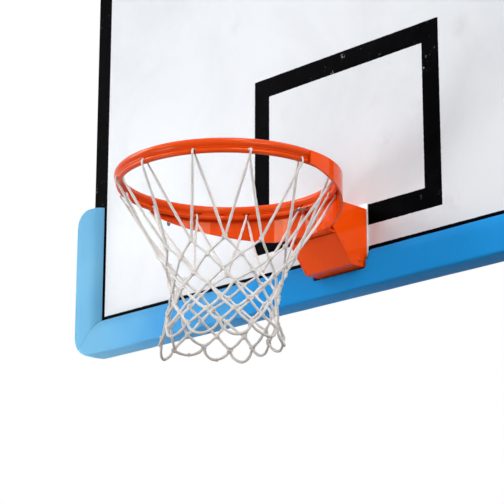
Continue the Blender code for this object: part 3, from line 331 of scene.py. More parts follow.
def cord_braid():
    """Off-white braided cord, darker towards the net's lower end. The braid follows length and girth.
    """
    paint = Paint("cord_braid")
    around, along, _ = paint.parts(paint.uv)
    strands, lay = 4, 0.0056
    turn = paint.math("MULTIPLY", around, 2 * math.pi * strands)
    pitch = paint.math("MULTIPLY", along, 2 * math.pi / lay)
    first = paint.math("SINE", paint.math("ADD", turn, pitch))
    second = paint.math("SINE", paint.math("SUBTRACT", turn, pitch))
    braid = paint.math("MULTIPLY", first, second)
    grime = paint.ramp(paint.noise(16.0, 6.0, 0.65), 0.38, 0.70)
    colour = paint.mix(grime, (0.970, 0.950, 0.930), (0.880, 0.840, 0.800))
    _, _, z = paint.parts(paint.place)
    # Darker towards the net's lower end, by height.
    low = paint.ramp(z, z_at(-0.150), z_at(-0.225), 0.0, 0.48)
    colour = paint.mix(low, colour, (0.50, 0.455, 0.42))
    specks = paint.ramp(paint.noise(85.0, 4.0, 0.7), 0.52, 0.70, 0.0, 0.50)
    colour = paint.mix(specks, colour, (0.62, 0.49, 0.41))
    # Painted shade: the braid's grooves are coloured darker.
    colour = paint.mix(paint.ramp(braid, -0.9, 0.4, 0.36, 0.0), colour, (0.44, 0.38, 0.33))
    fuzz = paint.noise(1500.0, 2.0, 0.6)
    relief = paint.bump(fuzz, 0.3, 0.0003)
    relief = paint.bump(braid, 0.75, 0.0006, under=relief)
    roughness = paint.ramp(grime, 0.0, 1.0, 0.72, 0.90)
    levels = {"Specular_IOR_Level": 0.2, "Sheen_Weight": 0.2, "Sheen_Roughness": 0.5}
    return paint.finish(colour, roughness, relief, **levels)


def dark_steel():
    """Dark drawn wire of springs, tie and hook."""
    paint = Paint("dark_steel")
    cloud = paint.ramp(paint.noise(120.0, 4.0), 0.35, 0.70)
    colour = paint.mix(cloud, (0.150, 0.142, 0.138), (0.085, 0.080, 0.077))
    roughness = paint.ramp(paint.noise(300.0, 3.0), 0.3, 0.7, 0.28, 0.45)
    return paint.finish(colour, roughness, paint.bump(cloud, 0.15, 0.0003), Metallic=0.9)


def black_rubber(name, roughness_low, roughness_high):
    """Black rubber or plastic with a fine grain."""
    paint = Paint(name)
    cloud = paint.ramp(paint.noise(90.0, 4.0), 0.35, 0.70)
    colour = paint.mix(cloud, (0.022, 0.022, 0.023), (0.040, 0.040, 0.041))
    roughness = paint.ramp(paint.noise(200.0, 3.0), 0.3, 0.7, roughness_low, roughness_high)
    return paint.finish(colour, roughness, paint.bump(paint.noise(700.0, 2.0), 0.3, 0.0003))


GALVANISED = ((0.80, 0.81, 0.83), (0.66, 0.67, 0.69), 0.34, 0.50, 0.35)
BOLT_ZINC = ((0.62, 0.62, 0.60), (0.50, 0.50, 0.47), 0.22, 0.38, 0.95)
MATERIALS = {
    "board_white": board_paint(),
    "ring_orange": orange_coat(),
    "zinc_plate": plated_steel("galvanised_plate", *GALVANISED),
    "pad_blue": pad_skin(),
    "net_cord": cord_braid(),
    "frame_steel": frame_coat(),
    "bolt_steel": plated_steel("zinc_bolt", *BOLT_ZINC),
    "spring_steel": dark_steel(),
    "rubber_black": black_rubber("buffer_rubber", 0.65, 0.85),
    "cap_black": black_rubber("cap_plastic", 0.35, 0.50),
}


def dress_cad():
    """Gives every CAD node its material, and rounds the sharp plate edges a little."""
    slots = {part["node"]: part["material_slot"] for part in frame["record"]["subparts"]}
    sharp = ("housing_", "arm_", "frame_", "structure_plate", "ring_anchor", "ring_mounting")
    sharp += ("board_panel",)
    for name, obj in NODES.items():
        obj.data.materials.clear()
        obj.data.materials.append(MATERIALS[slots[name]])
        if name.startswith(sharp):
            merge = obj.modifiers.new("merge", "WELD")
            merge.merge_threshold = 0.00001
            bevel = obj.modifiers.new("edges", "BEVEL")
            bevel.width = 0.0007
            bevel.segments = 2
            bevel.limit_method = "ANGLE"
            bevel.angle_limit = math.radians(35)
            bevel.harden_normals = True


# ---- mesh helpers ----


def add_mesh(name, vertices, faces, slot, body, uvs=None):
    """A new visible piece from plain vertex and face lists, in its slot and on its body."""
    mesh = bpy.data.meshes.new(name)
    mesh.from_pydata([tuple(v) for v in vertices], [], faces)
    mesh.update()
    if uvs is not None:
        layer = mesh.uv_layers.new(name="UVMap")
        flat = np.asarray(uvs, dtype=np.float32).ravel()
        layer.data.foreach_set("uv", flat)
    mesh.shade_smooth()
    mesh.set_sharp_from_angle(angle=math.radians(38))
    mesh.materials.append(MATERIALS[slot])
    obj = bpy.data.objects.new(name, mesh)
    bpy.context.scene.collection.objects.link(obj)
    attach(obj, body)
    return obj


class Tubes:
    """Collects many tubes into one mesh, with UVs that run round and along each."""

    def __init__(self, sides):
        self.sides = sides
        self.vertices = []
        self.faces = []
        self.uvs = []

    def add(self, points, radii, closed=False):
        """points is a list of Vectors. radii is one number or one per point.

        The ends are capped, or joined where closed is set.
        """
        count = len(points)
        if not hasattr(radii, "__len__"):
            radii = [radii] * count
        tangents = []
        for i in range(count):
            before = points[i - 1] if i or closed else points[0]
            after = points[(i + 1) % count] if i < count - 1 or closed else points[-1]
            tangents.append((after - before).normalized())
        side = tangents[0].orthogonal().normalized()
        base = len(self.vertices)
        lengths = [0.0]
        for i in range(count):
            side = (side - tangents[i] * side.dot(tangents[i])).normalized()
            other = tangents[i].cross(side)
            for k in range(self.sides):
                angle = 2 * math.pi * k / self.sides
                offset = side * math.cos(angle) + other * math.sin(angle)
                self.vertices.append(points[i] + offset * radii[i])
            following = points[(i + 1) % count]
            lengths.append(lengths[-1] + (following - points[i]).length)
        last = count if closed else count - 1
        for i in range(last):
            first = base + i * self.sides
            second = base + ((i + 1) % count) * self.sides
            for k in range(self.sides):
                n = (k + 1) % self.sides
                self.faces.append((first + k, first + n, second + n, second + k))
                u0, u1 = k / self.sides, (k + 1) / self.sides
                v0, v1 = lengths[i], lengths[i + 1]
                self.uvs += [(u0, v0), (u1, v0), (u1, v1), (u0, v1)]
        if not closed:
            for ring, flip in ((base, True), (base + (count - 1) * self.sides, False)):
                cap = [ring + k for k in range(self.sides)]
                if flip:
                    cap.reverse()
                self.faces.append(tuple(cap))
                self.uvs += [(0.5, lengths[0 if flip else count - 1])] * self.sides

    def build(self, name, slot, body):
        return add_mesh(name, self.vertices, self.faces, slot, body, uvs=self.uvs)


def smooth_path(points, step):
    """Catmull-Rom curve through the points, resampled about every step metres."""
    result = []
    for i in range(len(points) - 1):
        p1, p2 = points[i], points[i + 1]
        p0 = points[i - 1] if i else p1 + (p1 - p2)
        p3 = points[i + 2] if i + 2 < len(points) else p2 + (p2 - p1)
        pieces = max(1, int(round((p2 - p1).length / step)))
        for k in range(pieces):
            t = k / pieces
            a = p1 * 2
            b = (p2 - p0) * t
            c = (p0 * 2 - p1 * 5 + p2 * 4 - p3) * (t * t)
            d = (p1 * 3 - p0 - p2 * 3 + p3) * (t * t * t)
            result.append((a + b + c + d) * 0.5)
    result.append(points[-1].copy())
    return result


def swept(name, rings, slot, body, closed=True):
    """A surface through a list of equal rings of points, capped where it isn't closed."""
    width = len(rings[0])
    vertices = [p for ring in rings for p in ring]
    faces = []
    last = len(rings) if closed else len(rings) - 1
    for i in range(last):
        first, second = i * width, ((i + 1) % len(rings)) * width
        for k in range(width):
            n = (k + 1) % width
            faces.append((first + k, first + n, second + n, second + k))
    if not closed:
        faces.append(tuple(reversed(range(width))))
        faces.append(tuple((len(rings) - 1) * width + k for k in range(width)))
    return add_mesh(name, vertices, faces, slot, body)


# ---- ring ----


def round_section(radius, sides):
    turns = [2 * math.pi * k / sides for k in range(sides)]
    return [(radius * math.cos(turn), radius * math.sin(turn)) for turn in turns]


def loop_spans():
    """Pairs of angles: each net loop and the next one."""
    return zip(LOOP_ANGLES, LOOP_ANGLES[1:] + (LOOP_ANGLES[0] + 360.0,))


def notch_marks():
    """Angles round the net rod, each with the height of its top there: 0 in a notch, 1 beside."""
    half = math.degrees(0.0045 / RING_RADIUS)
    soft = math.degrees(0.0010 / RING_RADIUS)
    side = [(half - 0.6 * soft, 0.0), (half, 0.15), (half + 0.4 * soft, 0.75), (half + soft, 1.0)]
    notch = [(-offset, share) for offset, share in reversed(side)] + [(0.0, 0.0)] + side
    marks = []
    for first, second in loop_spans():
        marks += [(first + offset, share) for offset, share in notch]
        start, finish = first + half + soft, second - half - soft
        marks += [(start + (finish - start) * k / 8, 1.0) for k in range(1, 8)]
    return marks


def build_rods():
    """Round bars of the ring, the net rod with its notches, and the weld runs between them."""
    steps = 240
    section = round_section(ROD_RADIUS, 28)
    rings = []
    for step in range(steps):
        angle = 360.0 * step / steps
        rings.append([polar(RING_RADIUS + r, -angle, RING_Z + z) for r, z in section])
    main = swept("ring_bar", rings, "ring_orange", "ring")
    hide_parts("ring_rod")

    notch_floor = -0.0020
    section = round_section(NET_ROD_RADIUS, 20)
    rings = []
    for angle, share in reversed(notch_marks()):
        ceiling = notch_floor + (NET_ROD_RADIUS + 0.0021) * share
        places = [(RING_RADIUS + r, NET_ROD_Z + min(z, ceiling)) for r, z in section]
        rings.append([polar(radius, angle, height) for radius, height in places])
    lower = swept("net_bar", rings, "ring_orange", "ring")
    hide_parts("net_rod")

    welds = Tubes(8)
    seam = NET_ROD_Z + 0.0062
    points, radii = [], []
    for k in range(720):
        ripple = math.sin(k * 1.9) + 0.6 * math.sin(k * 0.71)
        points.append(polar(RING_RADIUS + 0.0040, 0.5 * k, seam + 0.00008 * ripple))
        radii.append(0.0022 + 0.00010 * ripple)
    welds.add(points, radii, closed=True)
    pieces, from_loop = 26, 2.3
    for first, second in loop_spans():
        gap = second - first
        for start, finish in ((from_loop, 0.44 * gap), (0.54 * gap, gap - from_loop)):
            start += RNG.uniform(-0.4, 0.4)
            finish += RNG.uniform(-0.4, 0.4)
            points, radii = [], []
            for k in range(pieces + 1):
                share = k / pieces
                ripple = math.sin(share * 43.0 + first)
                end = min(1.0, 9.0 * min(share, 1 - share) + 0.25)
                angle = first + start + (finish - start) * share
                points.append(polar(RING_RADIUS - 0.0038, angle, seam + 0.00010 * ripple))
                radii.append(0.0021 * end + 0.00010 * ripple)
            welds.add(points, radii)
    welds.build("ring_weld_runs", "ring_orange", "ring")


def weld(beads, points, radius):
    """One rippled run of weld that thins out at its ends."""
    points = smooth_path(points, 0.0022)
    radii = []
    for k in range(len(points)):
        end = min(1.0, 0.35 + 0.22 * min(k, len(points) - 1 - k))
        radii.append(radius * end * (1.0 + 0.07 * math.sin(2.1 * k) + 0.04 * math.sin(0.9 * k)))
    beads.add(points, radii)


def four_along(start, span):
    """Four numbers at equal steps from start to start + span."""
    return [start + span * k / 3 for k in range(4)]


def weld_housing():
    """Fillet runs where the housing's plates meet the band, the cheeks and each other."""
    beads = Tubes(8)
    band = RING_RADIUS + ROD_RADIUS + BAND_GAP + BAND_THICKNESS
    cheek = HOUSING_HALF_WIDTH
    head = z_at(HOUSING_HEAD)
    plate = z_at(ARM_PLATE_HEIGHT)
    reach = math.degrees(math.asin(0.064 / band))
    arc = [180.0 - reach + 2 * reach * k / 12 for k in range(13)]
    weld(beads, [polar(band + 0.0003, a, head + 0.0004) for a in arc], 0.0019)
    for height in (plate - 0.0002, plate + 0.0042):
        weld(beads, [polar(band + 0.0004, a, height) for a in arc], 0.0016)
    depth = RING_TO_BOARD + RING_INNER_RADIUS - math.sqrt(band**2 - (cheek - 0.004) ** 2)
    for side in (-1, 1):
        outer, upper, inner = [side * (cheek - inset) for inset in (0.0006, 0.0042, 0.0052)]
        edge = (0.0655, 0.085, 0.105, 0.125, 0.1375)
        weld(beads, [Vector((outer, y_at(depth - 0.0010), z_at(h))) for h in edge], 0.0014)
        for start, finish in ((0.012, 0.040), (0.060, 0.090), (0.104, depth - 0.004)):
            top = [Vector((upper, y_at(d), head - 0.0001)) for d in four_along(start, finish - start)]
            weld(beads, top, 0.0011)
        for start, finish in ((0.098, 0.112), (0.120, depth - 0.006)):
            low = [Vector((inner, y_at(d), z_at(0.0620))) for d in four_along(start, finish - start)]
            weld(beads, low, 0.0013)
    beads.build("housing_weld_runs", "ring_orange", "ring")


def weld_lugs():
    """Runs on both sides of the hinge lugs, against the mounting plate."""
    beads = Tubes(8)
    for side in (-1, 1):
        for face in (-1, 1):
            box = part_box("hinge_lug_left" if side < 0 else "hinge_lug_right")
            x = box[0 if face < 0 else 1][0] + face * 0.0004
            low, high = box[0][2] + 0.018, box[1][2] - 0.002
            weld(beads, [Vector((x, y_at(0.0052), z)) for z in four_along(low, high - low)], 0.0017)
    beads.build("lug_weld_runs", "zinc_plate", "backboard")


def weld_frame():
    """Runs where the rear frame's tubes and plates meet."""
    beads = Tubes(8)
    radius, from_edge, from_end = 0.0019, 0.0006, 0.004
    for side in (-1, 1):
        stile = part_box("frame_stile_left" if side < 0 else "frame_stile_right")
        inner = stile[1][0] if side < 0 else stile[0][0]
        for rail in ("frame_rail_top", "frame_rail_bottom"):
            low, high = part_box(rail)
            up = four_along(low[2] + from_end, high[2] - low[2] - 2 * from_end)
            for y in (low[1] + from_edge, high[1] - from_edge):
                weld(beads, [Vector((inner, y, z)) for z in up], radius)
        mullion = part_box("frame_mullion_left" if side < 0 else "frame_mullion_right")
        left, right = mullion[0][0], mullion[1][0]
        across = four_along(left + from_end, right - left - 2 * from_end)
        for end in (0, 1):
            z = mullion[end][2]
            for y in (mullion[0][1] + from_edge, mullion[1][1] - from_edge):
                weld(beads, [Vector((x, y, z)) for x in across], radius)
        for plate in ("structure_plate", "ring_anchor_plate"):
            low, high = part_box(plate)
            span = high[2] - low[2]
            for x in (left, right):
                for start in (0.12, 0.58):
                    up = [low[2] + span * (start + 0.1 * k) for k in range(4)]
                    weld(beads, [Vector((x, low[1] - 0.0004, z)) for z in up], radius)
    beads.build("frame_weld_runs", "frame_steel", "backboard")


# ---- net ----

# Heights are above the board's foot, angles in degrees from the front
NET_ROWS = 7
ROW_HEIGHTS = (-0.038, -0.0680, -0.0977, -0.1271, -0.1562, -0.1850)
END_KNOTS = (
    *(-0.214, -0.212, -0.218, -0.213, -0.216, -0.209),
    *(-0.214, -0.216, -0.211, -0.226, -0.217, -0.212),
)
END_ANGLES = (12.0, 43.0, 73.0, 107.0, 142.0, 174.0, 196.0, 219.0, 245.0, 277.0, 309.0, 341.0)
END_LOOPS = (
    *(-0.240, -0.243, -0.238, -0.241, -0.236, -0.234),
    *(-0.243, -0.237, -0.232, -0.255, -0.240, -0.237),
)
WAIST_HEIGHT = -0.150
WAIST_RADIUS = 0.115
NET_TWIST = -4.4
NET_LEAN = Vector((-0.0052, -0.0052, 0.0))
CORD_RADIUS = 0.0031
ARCH_CORD_RADIUS = 0.0022


def net_radius(height):
    """The net narrows to its waist and opens again a little below it."""
    if height > WAIST_HEIGHT:
        return WAIST_RADIUS + 0.033 * ((height - WAIST_HEIGHT) / 0.112) ** 2
    return WAIST_RADIUS + 0.015 * min((WAIST_HEIGHT - height) / 0.0636, 1.3) ** 1.5


def hang(radius, angle, height):
    """A place on the net, which leans a little to one side towards its open end."""
    lean = min(max((-0.050 - height) / 0.15, 0.0), 1.3)
    return polar(radius, angle, z_at(height)) + NET_LEAN * lean


def outward_at(angle):
    """Level direction away from the ring's axis."""
    turn = math.radians(angle)
    return Vector((math.sin(turn), -math.cos(turn), 0.0))


def build_net():
    """Twelve cords, each up from the open end, over the net rod, down and round an end loop."""
    knots = {}
    for row in range(1, NET_ROWS + 1):
        loose = 0.25 + 0.75 * (row - 1) / (NET_ROWS - 1)
        for slot in range(NET_LOOPS):
            if row == NET_ROWS:
                height, angle = END_KNOTS[slot], END_ANGLES[slot]
            else:
                height = ROW_HEIGHTS[row - 1] + RNG.gauss(0.0, 0.0033) * loose
                angle = 30.0 * (slot + 0.5 * (row % 2)) + NET_TWIST * (row - 1) / (NET_ROWS - 1)
                angle += RNG.gauss(0.0, 1.6) * loose
            radius = net_radius(height) + RNG.gauss(0.0, 0.0022) * loose
            knots[row, slot] = (radius, angle, height)

    def knot(row, slot, lift=0.0):
        """Place of a knot. Slots count round the net, so any whole number names one."""
        radius, angle, height = knots[row, slot % NET_LOOPS]
        return hang(radius + lift, angle, height)

    def strand(start, finish, sag, row):
        """Middle of a cord between two knots, a little slack."""
        middle = (start + finish) / 2
        centre = Vector((0.0, RING_Y, middle.z))
        outward = (middle - centre).normalized()
        loose = 0.3 + 0.7 * row / NET_ROWS
        middle += outward * (0.0014 + RNG.gauss(0.0, 0.0016)) * loose
        middle.z -= sag + abs(RNG.gauss(0.0, 0.0012)) * loose
        return middle

    def side_path(slots, lift):
        """Knots and slack middles down one side of a cord, from row 1 to the last row."""
        places = [knot(row, slot, lift * (-1) ** row) for row, slot in enumerate(slots, start=1)]
        path = [places[0]]
        for row, (start, finish) in enumerate(zip(places, places[1:]), start=1):
            middle = strand(start, finish, 0.0012 * row / NET_ROWS, row)
            path += [start.lerp(middle, 0.3), middle, middle.lerp(finish, 0.7), finish]
        return path

    cords = Tubes(8)
    foot, lift = 0.0083, 0.0018
    arch_shape = ((1.0, -0.006), (0.97, -0.002), (0.72, 0.0022), (0.36, 0.0036))
    half_arch = [(share * foot, height) for share, height in arch_shape]
    for slot in range(NET_LOOPS):
        turn = LOOP_ANGLES[slot]
        left = side_path([slot - step for step in (1, 1, 2, 2, 3, 3, 4)], lift)
        right = side_path([slot + step for step in (0, 1, 1, 2, 2, 3, 3)], -lift)
        arch = [polar(RING_RADIUS + r, turn - 0.12, NET_ROD_Z + z) for r, z in half_arch]
        arch += [polar(RING_RADIUS - r, turn + 0.12, NET_ROD_Z + z) for r, z in reversed(half_arch)]
        left_leg = [arch[0].lerp(left[0], share) for share in (0.10, 0.5, 0.85)]
        right_leg = [arch[-1].lerp(right[0], share) for share in (0.10, 0.5, 0.85)]
        for leg in (left_leg, right_leg):
            leg[1] += Vector((RNG.gauss(0, 0.0012), RNG.gauss(0, 0.0012), -0.0015))
        low = END_LOOPS[(slot + 3) % NET_LOOPS]
        start = knots[NET_ROWS, (slot + 3) % NET_LOOPS]
        finish = knots[NET_ROWS, (slot + 4) % NET_LOOPS]
        span = (finish[1] - start[1]) % 360.0
        lean = RNG.uniform(-0.06, 0.06)
        end = []
        for share in (0.10, 0.25, 0.42, 0.58, 0.75, 0.90):
            sag = math.sin(math.pi * share) ** 0.62
            edge = start[2] + (finish[2] - start[2]) * share
            angle = start[1] + span * (share + lean * math.sin(math.pi * share))
            radius = start[0] + (finish[0] - start[0]) * share + 0.004 * sag
            end.append(hang(radius, angle, edge + (low - edge) * sag))
        path = [*reversed(left), *reversed(left_leg), *arch, *right_leg, *right, *end]
        path.append(knot(NET_ROWS, slot + 4))
        points = smooth_path(path, 0.0045)
        radii = []
        for k, point in enumerate(points):
            share = min(max((NET_ROD_Z - 0.008 - point.z) / 0.020, 0.0), 1.0)
            pulled = math.exp(-(((point.z - z_at(-0.065)) / 0.040) ** 2))
            radius = ARCH_CORD_RADIUS + (CORD_RADIUS - 0.0006 * pulled - ARCH_CORD_RADIUS) * share
            radii.append(radius * (1.0 + 0.08 * math.sin(1.13 * k + slot) + 0.05 * math.sin(0.37 * k)))
        cords.add(points, radii)

    def lump(centre, outward, size, thick):
        """A small closed trefoil of cord: the knot itself."""
        side = outward.cross(Vector((0, 0, 1))).normalized()
        up = side.cross(outward).normalized()
        spin = RNG.uniform(0.0, 2 * math.pi)
        points = []
        pieces = 22
        for k in range(pieces):
            t = 2 * math.pi * k / pieces
            a = (math.sin(t) + 2 * math.sin(2 * t)) / 3 * size
            b = (math.cos(t) - 2 * math.cos(2 * t)) / 3 * size
            c = -math.sin(3 * t) * 0.62 * size
            across = a * math.cos(spin) - b * math.sin(spin)
            upward = a * math.sin(spin) + b * math.cos(spin)
            points.append(centre + side * across + up * upward * 1.1 + outward * c)
        cords.add(points, thick, closed=True)

    for (row, slot), (radius, angle, height) in sorted(knots.items()):
        lump(hang(radius, angle, height), outward_at(angle), RNG.uniform(0.0043, 0.0052), 0.0026)
    for slot in (7, 8):
        start, finish = knots[NET_ROWS, slot], knots[NET_ROWS, slot + 1]
        angle = start[1] + 0.47 * (finish[1] - start[1])
        centre = hang(start[0] + 0.004, angle, END_LOOPS[slot] + 0.0005)
        lump(centre, outward_at(angle), 0.0026, 0.0022)
    net = cords.build("cord_net", "net_cord", "ring")
    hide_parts("net")


def build_ties():
    """Twisted tie wire across one loop on the net rod, and the bent hook under the band."""
    twist = Tubes(8)
    pieces, turns, lay = 60, 5.0, 0.0012
    base = []
    for k in range(pieces + 1):
        share = k / pieces
        turn = 4.2 - 11.7 * share
        bulge = math.exp(-((turn / 1.3) ** 2))
        radius = RING_RADIUS - 0.0076 - 0.0054 * bulge
        height = NET_ROD_Z - 0.0040 + 0.0006 * math.sin(7.0 * share)
        base.append(polar(radius, LOOP_ANGLES[6] + turn, height))
    for phase in (0.0, math.pi):
        points = []
        for k, centre in enumerate(base):
            outward = Vector((centre.x, centre.y - RING_Y, 0.0)).normalized()
            turn = 2 * math.pi * turns * k / pieces + phase
            rise = Vector((0, 0, lay * math.sin(turn)))
            points.append(centre + outward * lay * math.cos(turn) + rise)
        twist.add(smooth_path(points, 0.0004), 0.00140)
    wire = twist.build("twisted_tie_wire", "spring_steel", "ring")
    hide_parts("net_tie_wire")

    centre_radius, angle, height = 0.25556, 258.0, z_at(0.150 - 0.0444)
    bends = ((0.0, 0.018), (0.0, 0.004), (0.0, 0.0), (0.0004, -0.0032))
    bends += ((-0.0010, -0.0064), (-0.0042, -0.0078), (-0.0074, -0.0064), (-0.0082, -0.0036))
    hook = Tubes(14)
    path = [polar(centre_radius + r, angle, height + z) for r, z in bends]
    hook.add(smooth_path(path, 0.0008), 0.0020)
    bent = hook.build("bent_tie_hook", "spring_steel", "ring")
    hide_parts("net_tie_hook")


def spring_share(turn):
    """How far along a return spring a turn lies. The end turns are closed."""
    closed, open_turns, drift = 0.7, 7.6, 0.035
    share = min(max((turn - closed) / open_turns, 0.0), 1.0)
    past = min(turn, closed) - closed + max(turn - (closed + open_turns), 0.0)
    share = share + drift * past / closed
    return min(max((share + drift) / (1 + 2 * drift), 0.0), 1.0)


def build_springs():
    """Return springs with closed end turns."""
    start, finish, wire, coil = 0.0148, 0.0904, 0.0019, 0.011
    turns, pieces = 9, 24
    for side in ("left", "right"):
        low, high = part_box("return_spring_" + side)
        x, z = (low[0] + high[0]) / 2, (low[2] + high[2]) / 2
        points = []
        for k in range(pieces * turns + 1):
            turn = k / pieces
            depth = start + wire + (finish - start - 2 * wire) * spring_share(turn)
            angle = 2 * math.pi * turn
            across, up = coil * math.cos(angle), coil * math.sin(angle)
            points.append(Vector((x + across, y_at(depth), z + up)))
        tube = Tubes(10)
        tube.add(points, wire)
        spring = tube.build("coil_spring_" + side, "spring_steel", "backboard")
        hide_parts("return_spring_" + side)
        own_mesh(spring)


# ---- pads ----

PAD_OUT = 0.050
PAD_FRONT = 0.020
PAD_REAR = -PANEL_THICKNESS - 0.020
PAD_LAP = 0.041
PAD_ARM_TOP = 0.350
PAD_CORNER_RADIUS = 0.060
PAD_TOP_RADIUS = 0.045
PAD_FRONT_ROUND = 0.0065
PAD_REAR_ROUND = 0.0105
SKIN_GAP = 0.0003
MITRE_GAP = 0.00025
# Cuts in the bottom pad: half width, and how far outside the board's edge they reach
CUTOUT_EDGE = 0.0802
CUTOUT_OUT = 0.0080
SLEEVE_EDGE = 0.0700
SLEEVE_OUT = -0.0150
CUT_BLEND = 0.0025


def pad_section():
    """Soft section: (distance outside the board's edge, depth in front of the face)."""

    def rounded(depth, radius, angles):
        """The soft outer edge, a quarter turn round a centre at this depth."""
        out = PAD_OUT - radius
        return [(out + radius * math.cos(a), depth + radius * math.sin(a)) for a in angles]

    points = [(SKIN_GAP, SKIN_GAP), (-0.020, SKIN_GAP), (-PAD_LAP + 0.001, SKIN_GAP)]
    slope = ((0.0, 0.0012), (0.0014, 0.0040), (0.0036, 0.0072), (0.0066, 0.0106), (0.0102, 0.0138))
    slope += ((0.0144, 0.0164), (0.0194, 0.0184), (0.0250, 0.0196), (0.0320, 0.0202))
    points += [(-PAD_LAP + out, depth) for out, depth in slope]
    points += [(0.004, 0.0206), (0.016, 0.0207), (0.028, 0.0205)]
    turns = [math.pi / 2 * (1 - k / 6) for k in range(7)]
    points += rounded(PAD_FRONT - PAD_FRONT_ROUND, PAD_FRONT_ROUND, turns)
    points += [(PAD_OUT + 0.0007, 0.000), (PAD_OUT + 0.0010, -0.015), (PAD_OUT + 0.0007, -0.030)]
    turns = [-math.pi / 2 * k / 6 for k in range(7)]
    points += rounded(PAD_REAR + PAD_REAR_ROUND, PAD_REAR_ROUND, turns)
    points += [(0.024, PAD_REAR - 0.0004), (0.006, PAD_REAR - 0.0004), (-PAD_LAP + 0.022, PAD_REAR)]
    points += [(-PAD_LAP + 0.012, PAD_REAR + 0.0016), (-PAD_LAP + 0.005, PAD_REAR + 0.0052)]
    points += [(-PAD_LAP + 0.001, PAD_REAR + 0.0105), (-PAD_LAP, -PANEL_THICKNESS - 0.0024)]
    points += [(-PAD_LAP + 0.001, -PANEL_THICKNESS - 0.0004), (-0.020, -PANEL_THICKNESS - 0.0004)]
    points += [(SKIN_GAP, -PANEL_THICKNESS - SKIN_GAP), (SKIN_GAP, -0.015)]
    return points


def arm_reach(distance, has_top):
    """How far out a pad stands at a distance along its arm from the board's corner."""
    reach = PAD_OUT
    corner = PAD_CORNER_RADIUS - PAD_OUT
    if distance < corner:
        before = min(corner - distance, PAD_CORNER_RADIUS)
        reach = math.sqrt(max(PAD_CORNER_RADIUS**2 - before**2, 0.0)) - corner
    if has_top and distance > PAD_ARM_TOP - PAD_TOP_RADIUS:
        above = min(distance - (PAD_ARM_TOP - PAD_TOP_RADIUS), PAD_TOP_RADIUS)
        reach = min(reach, PAD_OUT - PAD_TOP_RADIUS + math.sqrt(PAD_TOP_RADIUS**2 - above**2))
    return reach


def soft_step(value, low, high):
    share = min(max((value - low) / (high - low), 0.0), 1.0)
    return share * share * (3 - 2 * share)


def pad_mesh(name, node, place, length_at, reach_at, stations, trim=None):
    """Sweeps the soft section, with a crease at each mitre and shallow dents on the skin.

    place(out, distance, depth) gives the world point, length_at(out, station) the distance along
    the board's edge, and reach_at(distance) how far out the pad stands there. trim cuts the bottom
    pad back, which has a mitre at both its ends.
    """
    section = pad_section()
    rings = []
    for station in stations:
        ring = []
        for out, depth in section:
            if trim:
                out = trim(out, depth, length_at(out, station))
            reach = out
            if out > SKIN_GAP:
                # halfway steps settle the mitre, where reach and distance depend on each other
                for _ in range(24):
                    limit = reach_at(length_at(reach, station))
                    share = (limit - SKIN_GAP) / (PAD_OUT - SKIN_GAP)
                    reach = (reach + SKIN_GAP + (out - SKIN_GAP) * max(share, 0.08)) / 2
            distance = length_at(reach, station)
            spot = place(reach, distance, depth)
            if out > 0.001 or depth > 0.001 or depth < -PANEL_THICKNESS - 0.001:
                inward = place(0.012, length_at(0.012, station), -0.012) - spot
                inward.normalize()
                from_mitre = abs(distance + reach)
                if trim:
                    from_mitre = min(from_mitre, abs(BOARD_WIDTH - distance + reach))
                crease = 0.0016 * math.exp(-from_mitre / 0.0035)
                wave = noise.noise(spot * 9.0) * 0.0006 + noise.noise(spot * 31.0) * 0.00025
                spot = spot + inward * (crease + wave + SKIN_GAP)
            ring.append(spot)
        rings.append(ring)
    piece = swept(name, rings, "pad_blue", "backboard", closed=False)
    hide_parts(node)


def build_pads():
    """The arm up each side, and the long pad under the board."""
    half = BOARD_WIDTH / 2
    gap = MITRE_GAP

    def arm_length(reach, station):
        return gap - reach + (PAD_ARM_TOP - gap + reach) * station

    arm_stations = [0.0, 0.004, 0.008, 0.014, 0.022, 0.032, 0.045, 0.06, 0.08]
    arm_stations += [0.105 + 0.03 * k for k in range(25)]
    arm_stations += [0.85, 0.87, 0.89, 0.91, 0.93, 0.945, 0.96, 0.972, 0.982, 0.99, 0.996, 1.0]
    for side, sign in (("left", -1), ("right", 1)):

        def arm_place(out, distance, depth, sign=sign):
            return Vector((sign * (half + out), y_at(depth), z_at(distance)))

        pad_mesh(
            "pad_skin_" + side,
            "edge_pad_" + side,
            arm_place,
            arm_length,
            lambda distance: arm_reach(distance, True),
            arm_stations,
        )

    def bottom_length(reach, station):
        length = gap - reach + (half - gap + reach) * min(station, 2 - station)
        return length if station <= 1.0 else BOARD_WIDTH - length

    def bottom_place(out, distance, depth):
        return Vector((distance - half, y_at(depth), z_at(-out)))

    def trim(out, depth, distance):
        """Cut away round the housing in front, and round the bolts' sleeves behind."""
        if depth > 0.0:
            edge, limit = CUTOUT_EDGE, CUTOUT_OUT
        elif depth < -PANEL_THICKNESS:
            edge, limit = SLEEVE_EDGE, SLEEVE_OUT
        else:
            return out
        clear = 1.0 - soft_step(abs(distance - half), edge, edge + CUT_BLEND)
        return max(out, -PAD_LAP + (limit + PAD_LAP) * clear) if clear > 0.0 else out

    distances = [0.0, 0.001, 0.0025, 0.005, 0.009, 0.014, 0.022, 0.034, 0.05]
    distances += [0.07 + 0.0195 * k for k in range(39)]
    around = []
    for edge in (CUTOUT_EDGE, SLEEVE_EDGE):
        around += [half - edge - 0.0026 + 0.0026 * k / 4 for k in range(5)]
    distances = sorted([d for d in distances if d < 0.816] + around)
    half_stations = [d / half for d in distances] + [0.925, 0.94, 0.96, 0.98]
    stations = sorted(half_stations) + [1.0] + sorted(2 - s for s in half_stations)
    pad_mesh(
        "pad_skin_bottom",
        "edge_pad_bottom",
        bottom_place,
        bottom_length,
        lambda distance: arm_reach(min(distance, BOARD_WIDTH - distance), False),
        stations,
        trim,
    )


def build_all():
    dress_cad()
    build_rods()
    weld_housing()
    weld_lugs()
    weld_frame()
    build_net()
    build_ties()
    build_springs()
    build_pads()


